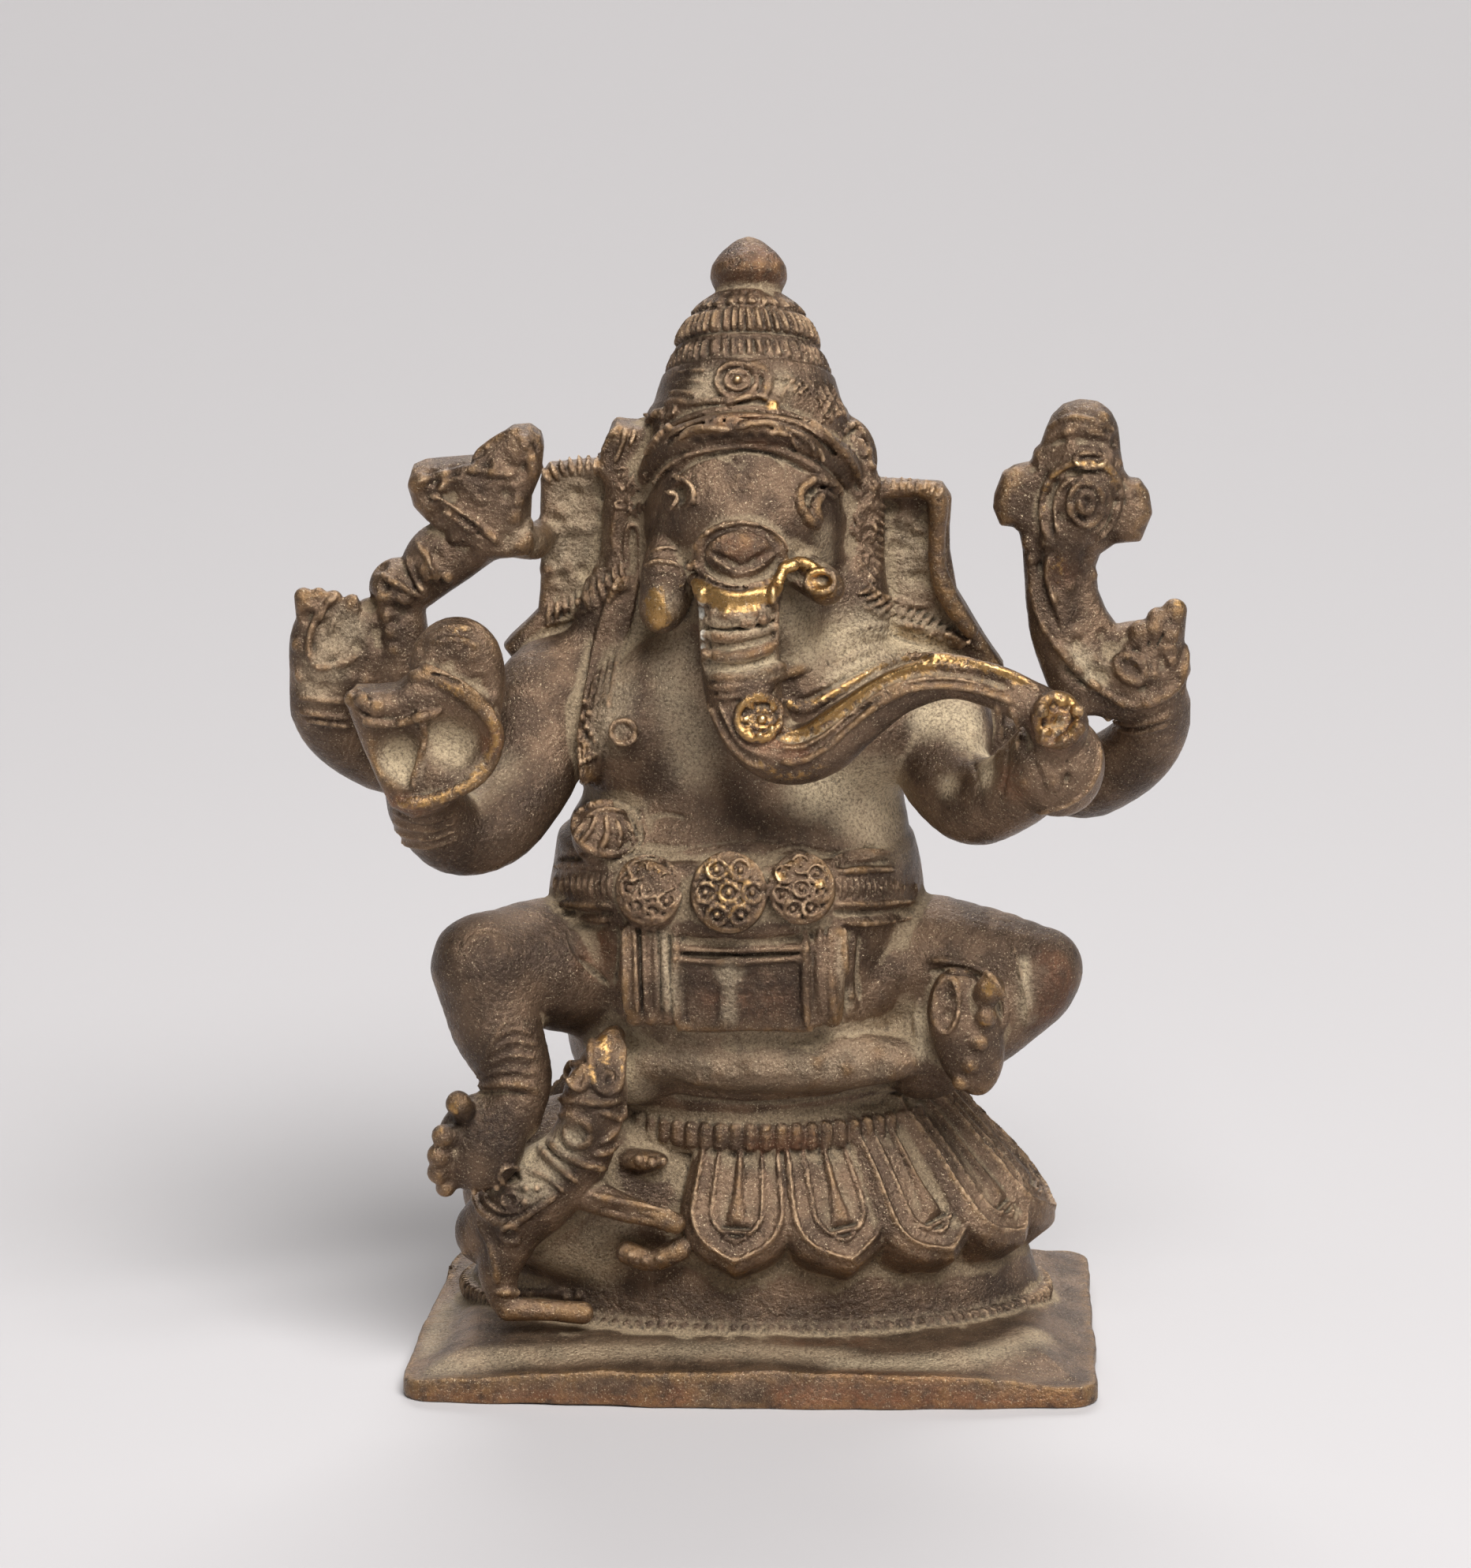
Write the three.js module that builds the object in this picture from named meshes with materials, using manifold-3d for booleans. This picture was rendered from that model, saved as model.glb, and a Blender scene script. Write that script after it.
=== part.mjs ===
// A small bronze figure of four-armed Ganesha, seated on a lotus with his mouse at the front
// and a rectangular foot plate below, cast solid in one piece by the lost-wax method.
// Millimetres, +Z up. The figure looks along -Y, +X is on the viewer's right, and the origin
// is the centre of the plate's underside. "Left" and "right" are the viewer's throughout.
import * as THREE from "three";
import { mergeVertices } from "three/addons/utils/BufferGeometryUtils.js";
import Module from "manifold-3d";

const wasm = await Module();
wasm.setup();

// Driving dimensions
const PLATE = { halfWidth: 24.3, halfDepth: 16, corner: 1.6 };
const DRUM = { y: 3, halfWidth: 21.4, halfDepth: 11.6 };
const LOTUS_TOP = { z: 16, halfWidth: 14.6, halfDepth: 9.6 };
const LOTUS_TIP = { z: 7.9, halfWidth: 20.8, halfDepth: 12.3 };
const SEAT = { x: 0.4, halfWidth: 13.6, halfDepth: 11 };
const CROWN = { x: -0.6, y: 1.6, z: 64, lean: 7 };

// The knees, each a place and the limb's radius there
const LEFT_KNEE = [-18.8, -7.2, 29.6, 3.6];
const RIGHT_KNEE = [20.2, -4.5, 28.9, 3];

const DEGREE = Math.PI / 180;

// A closed geometry as a solid that can be joined to others
function solid(geometry) {
  const bare = geometry.index ? geometry.toNonIndexed() : geometry.clone();
  bare.deleteAttribute("normal");
  bare.deleteAttribute("uv");
  const merged = mergeVertices(bare, 1e-4);
  const mesh = new wasm.Mesh({
    numProp: 3,
    vertProperties: merged.attributes.position.array,
    triVerts: new Uint32Array(merged.index.array),
  });
  return new wasm.Manifold(mesh);
}

function join(solids) {
  return solids.reduce((whole, piece) => whole.add(piece));
}

// Rings of points, each ring with the same count, skinned and closed by a point at either end
function skin(rings, start, end) {
  const count = rings[0].length;
  const points = [start, ...rings.flat(), end];
  const last = points.length - 1;
  const faces = [];
  for (let i = 0; i < count; i++) {
    const next = (i + 1) % count;
    faces.push(0, 1 + next, 1 + i);
    for (let r = 0; r + 1 < rings.length; r++) {
      const low = 1 + r * count;
      const high = low + count;
      faces.push(low + i, low + next, high + next, low + i, high + next, high + i);
    }
    const top = 1 + (rings.length - 1) * count;
    faces.push(top + i, top + next, last);
  }
  const geometry = new THREE.BufferGeometry().setFromPoints(points);
  geometry.setIndex(faces);
  return solid(geometry);
}

// An egg of three radii, turned by degrees about X, Y and Z
function ball([x, y, z], [rx, ry, rz], turn = [0, 0, 0], around = 8, up = 6) {
  const geometry = new THREE.SphereGeometry(1, around, up).rotateX(Math.PI / 2).scale(rx, ry, rz);
  const euler = new THREE.Euler(...turn.map((angle) => angle * DEGREE));
  geometry.applyMatrix4(new THREE.Matrix4().makeRotationFromEuler(euler));
  return solid(geometry.translate(x, y, z));
}

// A round limb through stations of x, y, z and radius, with domed ends
function limb(stations, sides = 7) {
  const DOME = 0.7;
  const places = stations.map(([x, y, z]) => new THREE.Vector3(x, y, z));
  const tangents = places.map((place, i) => {
    const before = places[Math.max(0, i - 1)];
    const after = places[Math.min(places.length - 1, i + 1)];
    return after.clone().sub(before).normalize();
  });
  let side = Math.abs(tangents[0].y) < 0.8 ? new THREE.Vector3(0, 1, 0) : new THREE.Vector3(1, 0, 0);
  const ringAt = (centre, tangent, radius) => {
    side = side.clone().addScaledVector(tangent, -side.dot(tangent)).normalize();
    const across = tangent.clone().cross(side);
    return Array.from({ length: sides }, (_, i) => {
      const angle = (i / sides) * 2 * Math.PI;
      return centre.clone()
        .addScaledVector(side, radius * Math.cos(angle))
        .addScaledVector(across, radius * Math.sin(angle));
    });
  };
  const first = stations[0][3];
  const last = stations.at(-1)[3];
  const startTangent = tangents[0];
  const endTangent = tangents.at(-1);
  const start = places[0].clone().addScaledVector(startTangent, -first);
  const end = places.at(-1).clone().addScaledVector(endTangent, last);
  const rings = [
    ringAt(places[0].clone().addScaledVector(startTangent, -first * DOME), startTangent, first * DOME),
    ...places.map((place, i) => ringAt(place, tangents[i], stations[i][3])),
    ringAt(places.at(-1).clone().addScaledVector(endTangent, last * DOME), endTangent, last * DOME),
  ];
  return skin(rings, start, end);
}

// Level oval rings, each of z, half width, half depth and centre, stacked into one form
function stack(levels, sides) {
  const rings = levels.map(([z, rx, ry, x = 0, y = 0]) =>
    Array.from({ length: sides }, (_, i) => {
      const angle = (i / sides) * 2 * Math.PI;
      return new THREE.Vector3(x + rx * Math.cos(angle), y + ry * Math.sin(angle), z);
    }));
  const middle = ([z, , , x = 0, y = 0]) => new THREE.Vector3(x, y, z);
  return skin(rings, middle(levels[0]), middle(levels.at(-1)));
}

// An upright slab: an outline of x and z points, from depth y to y + thickness
function slab(outline, y, thickness, bevel = 0) {
  const shape = new THREE.Shape(outline.map(([x, z]) => new THREE.Vector2(x, z)));
  const options = {
    depth: thickness - 2 * bevel,
    bevelEnabled: bevel > 0,
    bevelThickness: bevel,
    bevelSize: bevel,
    bevelOffset: -bevel,
    bevelSegments: 1,
  };
  const geometry = new THREE.ExtrudeGeometry(shape, options);
  return solid(geometry.rotateX(Math.PI / 2).translate(0, y + thickness - bevel, 0));
}

// The foot plate: flat below, and sloping up a little towards the pedestal
function plate() {
  const CORNER_POINTS = 3;
  const levels = [
    { z: 0, inset: 0.2 },
    { z: 0.4, inset: 0 },
    { z: 1.5, inset: 0.1 },
    { z: 1.9, inset: 0.7 },
    { z: 2.7, inset: 5.5 },
  ];
  const rings = levels.map(({ z, inset }) => {
    const ring = [];
    for (let corner = 0; corner < 4; corner++) {
      const signX = corner === 0 || corner === 3 ? 1 : -1;
      const signY = corner < 2 ? 1 : -1;
      for (let i = 0; i < CORNER_POINTS; i++) {
        const angle = (corner + i / (CORNER_POINTS - 1)) * 90 * DEGREE;
        const x = signX * (PLATE.halfWidth - PLATE.corner) + PLATE.corner * Math.cos(angle);
        const y = signY * (PLATE.halfDepth - PLATE.corner) + PLATE.corner * Math.sin(angle);
        ring.push(new THREE.Vector3(x - signX * inset, y - signY * inset, z));
      }
    }
    return ring;
  });
  return skin(rings, new THREE.Vector3(0, 0, levels[0].z), new THREE.Vector3(0, 0, levels.at(-1).z));
}

// The oval drum, the lotus that flares over it, the seat with its rim, and the mound the mouse climbs
function pedestal() {
  const SIDES = 22;
  const drum = (z, share) => [z, DRUM.halfWidth * share, DRUM.halfDepth * share, 0, DRUM.y];
  const seat = (z, share) => [z, SEAT.halfWidth * share, SEAT.halfDepth * share, SEAT.x, DRUM.y];
  const lotus = (z, inset, tier) => [z, tier.halfWidth - inset, tier.halfDepth - inset, 0, DRUM.y];
  const mound = ball([-11.4, -1.6, 11.6], [9.4, 6.2, 7]);
  return mound.add(stack([
    drum(1, 0.97), drum(2.6, 1), drum(3.6, 1), drum(4.3, 0.95), drum(7.6, 0.89),
    lotus(LOTUS_TIP.z + 1, 1.7, LOTUS_TIP), lotus(LOTUS_TOP.z - 0.6, 0.3, LOTUS_TOP),
    seat(LOTUS_TOP.z, 0.97), seat(16.6, 1), seat(17.4, 0.99), seat(18.3, 0.9),
  ], SIDES));
}

// Broad hanging petals round the lotus, left out where the mouse and the foot cover it
function petals() {
  const STEP = 22.5;
  const FIRST = -3.2;
  const COUNT = 12;
  return join(Array.from({ length: COUNT }, (_, i) => {
    const angle = (FIRST + i * STEP) * DEGREE;
    const place = ({ z, halfWidth, halfDepth }, inset) => new THREE.Vector3(
      (halfWidth - inset) * Math.sin(angle),
      DRUM.y - (halfDepth - inset) * Math.cos(angle),
      z,
    );
    const outwards = new THREE.Vector3(Math.sin(angle), -Math.cos(angle), 0);
    return leaf(place(LOTUS_TOP, 0.9), place(LOTUS_TIP, 0), outwards);
  }));
}

// One petal from root to tip: widest two thirds down, thick in the middle, facing outwards
function leaf(root, tip, outwards) {
  const sections = [[0, 1.6, 0.6], [0.6, 3.9, 1.5], [0.88, 3.3, 1.4]];
  const SIDES = 6;
  const along = tip.clone().sub(root);
  const across = outwards.clone().cross(along).normalize();
  const out = along.clone().cross(across).normalize();
  const rings = sections.map(([share, halfWidth, halfThickness]) => {
    const centre = root.clone().addScaledVector(along, share);
    return Array.from({ length: SIDES }, (_, i) => {
      const angle = (i / SIDES) * 2 * Math.PI;
      return centre.clone()
        .addScaledVector(across, halfWidth * Math.cos(angle))
        .addScaledVector(out, halfThickness * Math.sin(angle));
    });
  });
  return skin(rings, root.clone().addScaledVector(along, -0.1), tip);
}

// Torso from the lap to the neck, with the pot belly at the belt
function torso() {
  return stack([
    [17.6, 11.4, 8.6, -0.4, 2.4],
    [25, 12.8, 9.8, -0.8, 0.6],
    [30, 13, 10, -1, -0.2],
    [34.6, 12.8, 10.2, -1.2, -0.6],
    [38.2, 12, 9.2, -1.1, -0.3],
    [40.6, 11.3, 8.2, -0.8, 0.2],
    [44, 11.9, 7.4, -0.8, 0.8],
    [47.6, 13.6, 6.4, -0.4, 1.4],
    [50.2, 12.4, 5.6, -0.2, 1.8],
    [52.4, 8.4, 5, -0.3, 1.8],
    [56, 5.8, 4.8, -0.4, 1.6],
  ], 14);
}

// Belt with three rosettes, the sash ends beside the apron, and the snake's knot above the belt
function girdle() {
  const BELT = [[33, 12.8, 9.9], [33.6, 13.3, 10.7], [37.2, 12.8, 10.4], [37.9, 12, 9.4]];
  const rosettes = [
    { x: -7.2, y: -10, z: 35.7, r: 2.4 },
    { x: -1.6, y: -11.2, z: 36.1, r: 2.7 },
    { x: 3.6, y: -10.8, z: 36.3, r: 2.3 },
  ];
  const ribbons = [-8.4, -6.6, 3.6, 5.6];
  return join([
    stack(BELT.map(([z, rx, ry]) => [z, rx, ry, -1.3, -0.6]), 18),
    ...rosettes.map(({ x, y, z, r }) => ball([x, y, z], [r, 1, r * 1.05], [-6, 0, x * 3], 8, 4)),
    ...ribbons.map((x) => limb([[x, -9.6, 33, 0.9], [x * 0.97, -9.7, 27.2, 1]], 6)),
    slab([[-5.6, 32.6], [-5.2, 25.8], [4.3, 25.8], [4.6, 32.6]], -10.6, 4, 0.5),
    ball([-10.4, -6.6, 39], [2.3, 1.9, 2.2]),
  ]);
}

// Thighs, shins, feet and toes: one leg hangs to the drum, the other is folded across the seat
function legs() {
  const hangingFoot = [-19, -9.6, 17.4];
  const foldedFoot = [15, -8.2, 25.4];
  const hangingToes = [
    [-20.9, -11.2, 20.6, 0.95],
    [-22, -10.9, 18.2, 0.7],
    [-22.5, -10.7, 16.8, 0.6],
    [-22.8, -10.4, 15.4, 0.55],
    [-22.2, -10, 14.3, 0.5],
  ];
  const foldedToes = [
    [16.8, -9.9, 29.2, 0.95],
    [16.5, -9.9, 27, 0.75],
    [16, -9.7, 25.1, 0.65],
    [15.3, -9.5, 23.3, 0.65],
    [14.6, -9.2, 21.9, 0.5],
  ];
  const toe = ([footX, footY, footZ], [x, y, z, radius]) => {
    const mid = (a, b) => (a + b) / 2;
    return limb([[mid(footX, x), mid(footY, y) + 0.6, mid(footZ, z), radius], [x, y, z, radius]], 5);
  };
  return join([
    limb([[-7, 1, 27, 5.4], [-13.4, -3, 28.6, 4.8], LEFT_KNEE]),
    limb([LEFT_KNEE, [-18, -8, 25.8, 3.2], [-16.6, -8.4, 22, 2.5], [-17, -8.8, 19.4, 2.3]]),
    ball(hangingFoot, [3.2, 1.8, 3.6], [0, 25, -20]),
    limb([[6, 1, 27, 5.4], [12.6, -2, 28.8, 4.6], RIGHT_KNEE]),
    limb([[19.2, -4.6, 27.6, 3.2], [15.6, -4.4, 24.8, 3.4], [12, -3.2, 22.6, 3.6]]),
    ball(foldedFoot, [2.5, 1.8, 4.7], [0, -14, 0]),
    ...hangingToes.map((end) => toe(hangingFoot, end)),
    ...foldedToes.map((end) => toe(foldedFoot, end)),
  ]);
}

// Four arms. The left front hand is a cupped bowl under an upright thumb, the right front hand a fist
function arms() {
  const bowl = [
    [-27.7, 51.1], [-25.6, 51.7], [-22.9, 52.8], [-20.4, 52.6], [-18, 51.4], [-17, 48.6], [-18, 46.2],
    [-20.6, 43.2], [-23.2, 42.5], [-25.1, 43.9], [-26.4, 47.3],
  ];
  const leftFront = join([
    limb([
      [-11, 1, 48, 3.8], [-14.8, -1.2, 47.6, 3.7], [-15.6, -3.6, 43.6, 3.5], [-17.8, -6.8, 40.3, 3.2],
      [-20.6, -9, 39.8, 2.9], [-22.6, -11.6, 42.6, 2.6], [-22.2, -13.4, 45, 2.4],
    ]),
    slab(bowl.reverse(), -16.4, 3.4, 0.9),
    ball([-20.1, -13.6, 53.2], [3.1, 1.9, 3.2], [0, 8, 0]),
    ball([-18, -13, 51], [1.2, 1.6, 3], [0, 6, 0], 6, 4),
  ]);
  const rightFront = join([
    limb([
      [11, 1, 47, 3.6], [13.2, -1.4, 46.2, 3.4], [13.4, -4.6, 43.4, 3.3], [15.4, -7.6, 42, 3.1],
      [18.2, -10.4, 43.6, 2.8], [20.3, -13, 46.4, 2.8],
    ]),
    ball([21.2, -13.2, 46], [3.2, 2.5, 3.6]),
    ball([21.1, -15.2, 49.4], [2.1, 1.9, 2.2]),
  ]);
  const leftBack = join([
    limb([
      [-13, 3, 46.6, 3], [-19, 3, 43.8, 2.9], [-24.6, 0.4, 42.8, 2.8], [-28.4, -2.2, 44.8, 2.6],
      [-30, -3.8, 47.6, 2.5], [-29.9, -4.6, 50.6, 2.4],
    ]),
    ball([-29.4, -5, 52], [3, 1.8, 3.6], [0, -4, 0]),
    ball([-26.7, -4.8, 52], [2.4, 1.9, 3.6], [0, 6, 0]),
    limb([[-30.2, -5.2, 53.4, 1], [-31, -5.6, 55.6, 0.7]], 4),
    limb([[-28.2, -5.2, 53.4, 1], [-28.6, -5.6, 55.4, 0.7]], 4),
  ]);
  const rightBack = join([
    limb([
      [12, 3, 46.4, 2.9], [18, 3, 42.6, 2.9], [23, 1, 41.4, 2.8], [26.6, -1.4, 43.8, 2.6],
      [28, -3, 47, 2.5], [27.2, -4, 49.8, 2.4],
    ]),
    ball([26.2, -4.4, 50.6], [4.2, 2, 3.4], [0, -24, 0]),
    ball([23.2, -4.4, 51.2], [2.6, 1.8, 3.8], [0, -24, 0]),
    limb([[28.4, -4.8, 51.2, 1.3], [29.4, -5.2, 54.9, 0.8]], 5),
    limb([[27.1, -4.8, 51.6, 1], [27.8, -5.4, 54.3, 0.7]], 5),
  ]);
  return join([leftFront, rightFront, leftBack, rightBack]);
}

// What the back hands hold: an axe-like emblem on the left, a conch between two lobes on the right
function emblems() {
  const blade = [
    [-23.9, 63.8], [-23.2, 65.3], [-19.5, 65.7], [-16.9, 67.8], [-15, 67.8], [-14.5, 66.2], [-15.6, 63],
    [-15.2, 59.2], [-19.1, 58.6], [-22.7, 61.4],
  ];
  const conch = [
    [20.9, 69.2], [23.2, 69.7], [24.8, 68.3], [25.4, 64.9], [27.1, 63.7], [27.4, 61.5], [26.3, 59.7],
    [23.9, 58.9], [23.9, 56.2], [25, 54], [23.8, 51.2], [21.3, 50.7], [19.1, 55.1], [18.6, 60.5],
    [16.7, 61.4], [16.9, 64.1], [19.2, 65.3],
  ];
  return join([
    limb([
      [-24.7, -4.8, 54, 2.1], [-23.8, -4.8, 56.9, 2.2], [-21.8, -4.8, 59.2, 2.1], [-19.2, -4.8, 60.8, 2.2],
    ], 6),
    slab(blade.reverse(), -7.2, 4.4, 1.2),
    limb([[-17.7, -4.4, 60.2, 1.4], [-15.5, -1.4, 58.9, 1.1], [-15.2, 1.6, 58.6, 1]], 6),
    limb([
      [22.8, -4.2, 49.4, 2.2], [21.4, -4.2, 53.4, 2.2], [21.1, -4.1, 57.4, 2.2], [21.8, -4.2, 60.8, 2.6],
      [22.8, -4.3, 63.6, 2.8], [23, -4.3, 67.2, 2.4],
    ], 6),
    slab(conch.reverse(), -5.6, 2.8, 0.8),
  ]);
}

// Head, trunk and tusks
function head() {
  return join([
    ball([-0.6, -0.4, 60], [7.2, 7.4, 7.6], [0, 0, 0], 10, 7),
    ball([-0.6, -3.6, 61.8], [6.4, 4.8, 5.2], [0, 0, 0], 9, 6),
    ball([-0.3, -1.8, 54.6], [6.1, 5.6, 4.8]),
    limb([
      [-0.7, -6, 60.2, 3.5], [-0.8, -8.4, 58.2, 3], [-0.8, -9.4, 55, 2.7], [-0.7, -10.2, 52, 2.7],
      [-0.1, -11.2, 49, 2.6], [1.8, -12.2, 46.8, 2.3], [4.4, -12.9, 46.9, 2.1], [7, -13.4, 49, 1.9],
      [10.2, -13.8, 51.4, 1.6], [13.5, -14.2, 52.5, 1.4], [16.6, -14.6, 52, 1.5], [19.4, -15, 50.8, 1.6],
    ]),
    ball([-0.7, -9.6, 60], [3, 1.5, 2.2], [18, 0, 0], 10, 4),
    ball([0.5, -12.9, 49.2], [1.9, 1.4, 1.9], [0, 0, 0], 8, 4),
    limb([[-5.6, -4.4, 59.8, 1.6], [-6.2, -6, 57.6, 1.5], [-6.6, -7.4, 55.7, 1.2]], 6),
    limb([[2.8, -6.6, 58.6, 1.3], [5.2, -8.6, 57.4, 1.1]], 6),
  ]);
}

// Fan-like ears that run down onto the shoulders, the leaves above them and the lock beside the face
function ears() {
  const left = [
    [-7.6, 63.6], [-9.4, 64], [-14.6, 63.6], [-15.2, 62.6], [-15.1, 56.2], [-15.4, 53], [-17.8, 50.4],
    [-16, 48], [-8, 48],
  ];
  const right = [
    [8.8, 62.6], [13, 62.3], [13.7, 61.4], [13.6, 57.6], [14.1, 54.6], [15.6, 52], [17.4, 49.2],
    [15, 47.6], [6.4, 48], [6.4, 63.4],
  ];
  return join([
    slab(left, 1.4, 2.4, 0.5),
    slab(right, 1.4, 2.4, 0.5),
    ball([-9.4, 2.6, 64.6], [1.7, 1.1, 2.4], [0, -20, 0], 7, 5),
    ball([6.9, 2.6, 64.6], [1.5, 1.1, 2.4], [0, -18, 0], 7, 5),
    limb([[-8.4, 0.6, 64, 1.6], [-9.5, -1, 56, 1.9], [-10.2, -1.4, 52, 1.8]], 5),
  ]);
}

// Tall tiered crown with a bud on top and a thick band over the forehead
function crown() {
  const profile = [
    [0, 7.2], [1.6, 7.2], [4.4, 6.4], [6.6, 6], [7.2, 5.4], [9.2, 4.9], [10.4, 3.8], [11.2, 2.8],
    [11.8, 2.1], [12.6, 2.5], [13.5, 2.7], [14.4, 2.4], [15.2, 1.6], [15.75, 0.5],
  ];
  const tiers = stack(profile.map(([z, r]) => [z, r, r * 0.92]), 14)
    .rotate([-CROWN.lean, 0, 0])
    .translate([CROWN.x, CROWN.y, CROWN.z]);
  const BAND_STATIONS = 9;
  const band = Array.from({ length: BAND_STATIONS }, (_, i) => {
    const angle = (i / (BAND_STATIONS - 1) - 0.5) * 170 * DEGREE;
    return [-0.4 + 7 * Math.sin(angle), 0.6 - 7 * Math.cos(angle), 62.6 + 5.6 * Math.cos(angle), 1.1];
  });
  return join([tiers, limb(band, 6), ball([-1.1, -4.1, 69.9], [1.3, 1.4, 1.3], [0, 0, 0], 8, 5)]);
}

// The mouse climbs the front left of the drum, its nose up towards the seat
function mouse() {
  return join([
    limb([
      [-18.6, -6.4, 9.8, 2.5], [-16, -7.8, 12.6, 3.1], [-13, -8.4, 15.4, 2.6], [-11.6, -8.8, 18, 2.2],
      [-11, -8.9, 20.6, 2.2], [-10.5, -8.4, 23, 1.5], [-9.7, -7.8, 24.7, 0.9],
    ]),
    limb([[-16.4, -8.4, 11.4, 2.1], [-17.8, -8.6, 8, 1.5], [-17.6, -8.8, 5.6, 1]], 6),
    limb([[-17.2, -9, 4.9, 0.9], [-14.4, -8.9, 4.8, 0.8], [-12, -8.8, 4.6, 0.8]], 6),
    limb([[-12.4, -8.8, 13.8, 1.4], [-9.4, -9.2, 12.7, 1.1], [-5.4, -9.4, 11.5, 0.9]], 6),
    limb([[-8.8, -8.2, 8.9, 0.9], [-7, -8.6, 8.5, 0.9], [-5.2, -8.6, 9.3, 0.9]], 6),
    ball([-12, -10.2, 21.9], [0.9, 0.7, 1.2], [0, 0, 0], 6, 4),
    ball([-7.6, -6.8, 15.5], [1.3, 1.6, 1], [0, 0, 0], 6, 4),
  ]);
}

function meshOf(whole) {
  const { vertProperties, triVerts } = whole.getMesh();
  const geometry = new THREE.BufferGeometry();
  geometry.setAttribute("position", new THREE.BufferAttribute(vertProperties, 3));
  geometry.setIndex(new THREE.BufferAttribute(triVerts, 1));
  geometry.computeVertexNormals();
  const bronze = new THREE.MeshStandardMaterial({ color: 0x5e5240, roughness: 0.55, metalness: 0.8 });
  const mesh = new THREE.Mesh(geometry, bronze);
  mesh.name = "ganesha_figure";
  return mesh;
}

const figure = new THREE.Group();
figure.add(meshOf(join([
  plate(), pedestal(), petals(), torso(), girdle(), legs(), arms(), emblems(), head(), ears(), crown(),
  mouse(),
])));

export default figure;
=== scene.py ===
# A small bronze figure of four-armed Ganesha on a lotus, with his mouse at the front and a rectangular
# foot plate below, as one lost-wax casting with its patina, dust and rubbed places.
# The casting is modelled like wax: rounded masses are joined in a grid of distances, then threads are
# laid on it and grooves are cut into it, and its surface becomes one closed mesh.
# Sizes are in millimetres until a mesh is made. "Left" and "right" are the viewer's.
import math

import bpy
import numpy as np
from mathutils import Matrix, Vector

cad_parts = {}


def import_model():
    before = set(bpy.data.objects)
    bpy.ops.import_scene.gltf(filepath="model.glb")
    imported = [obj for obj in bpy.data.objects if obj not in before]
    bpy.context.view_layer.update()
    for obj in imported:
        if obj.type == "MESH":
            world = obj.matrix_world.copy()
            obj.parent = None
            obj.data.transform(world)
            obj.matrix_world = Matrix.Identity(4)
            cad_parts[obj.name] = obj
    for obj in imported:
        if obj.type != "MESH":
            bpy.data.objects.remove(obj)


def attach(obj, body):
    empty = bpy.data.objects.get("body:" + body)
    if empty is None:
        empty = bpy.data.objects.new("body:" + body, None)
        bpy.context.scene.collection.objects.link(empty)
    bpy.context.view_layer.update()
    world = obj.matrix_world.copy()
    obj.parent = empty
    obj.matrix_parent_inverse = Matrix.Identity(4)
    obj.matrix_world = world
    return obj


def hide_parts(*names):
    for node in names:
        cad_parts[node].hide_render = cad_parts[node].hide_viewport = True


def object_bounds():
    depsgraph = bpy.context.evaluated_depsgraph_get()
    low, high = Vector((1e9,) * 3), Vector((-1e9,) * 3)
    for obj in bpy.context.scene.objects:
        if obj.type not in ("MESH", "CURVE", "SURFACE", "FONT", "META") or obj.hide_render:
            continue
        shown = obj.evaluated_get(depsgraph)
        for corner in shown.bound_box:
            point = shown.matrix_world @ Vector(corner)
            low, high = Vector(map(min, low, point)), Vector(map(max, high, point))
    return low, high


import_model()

import openvdb
from mathutils import Matrix, Vector

MM = 0.001
CELL = 0.16
TRIANGLES = 195000
# The grid keeps no distance further than this from the surface
FAR = 3.0
SEED = 7
# Threads and grooves are this many times as high and deep as their own measures say
BOLDNESS = 1.3
SMALL = 1e-6
CURVE_STEPS = 5
RAIL_STEPS = 8

cad_low, cad_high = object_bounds()
CAD_LOW = np.array(cad_low) / MM
CAD_HIGH = np.array(cad_high) / MM

# Driving dimensions, as in the solids
PLATE = dict(half_width=24.2, half_depth=15.9, corner=1.6)
DRUM = dict(y=3.0, half_width=21.4, half_depth=11.6)
LOTUS_TOP = dict(z=16.0, half_width=14.6, half_depth=9.6)
LOTUS_MIDDLE = dict(z=12.5, half_width=17, half_depth=10.6)
LOTUS_TIP = dict(z=7.9, half_width=20.8, half_depth=12.3)
SEAT = dict(x=0.4, half_width=13.6, half_depth=11.0)
CROWN = dict(x=-0.6, y=1.6, z=64.0, lean=7.0)

# The camera's line of sight. A place on the front is given as (a, b): millimetres right and up of
# TARGET, in the plane square to the line of sight, and the wax is touched where that line meets it.
ELEVATION = math.radians(15.0)
AZIMUTH = math.radians(1.7)
CAMERA_DISTANCE = 615.0
TARGET = np.array([0.0, 0.0, 38.0])
BACK = np.array([
    math.sin(AZIMUTH) * math.cos(ELEVATION),
    -math.cos(AZIMUTH) * math.cos(ELEVATION),
    math.sin(ELEVATION),
])
RIGHT = np.array([math.cos(AZIMUTH), math.sin(AZIMUTH), 0.0])
UP = np.cross(BACK, RIGHT)


# Blends of two distances, round over a width


def smooth_min(first, second, width):
    """Joins two shapes, with a fillet of a width."""
    if width <= 0:
        return np.minimum(first, second)
    share = np.maximum(width - np.abs(first - second), 0) / width
    return np.minimum(first, second) - share * share * width * 0.25


def smooth_max(first, second, width):
    """Keeps what two shapes share, with a rounded edge of a width."""
    return -smooth_min(-first, -second, width)


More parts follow.
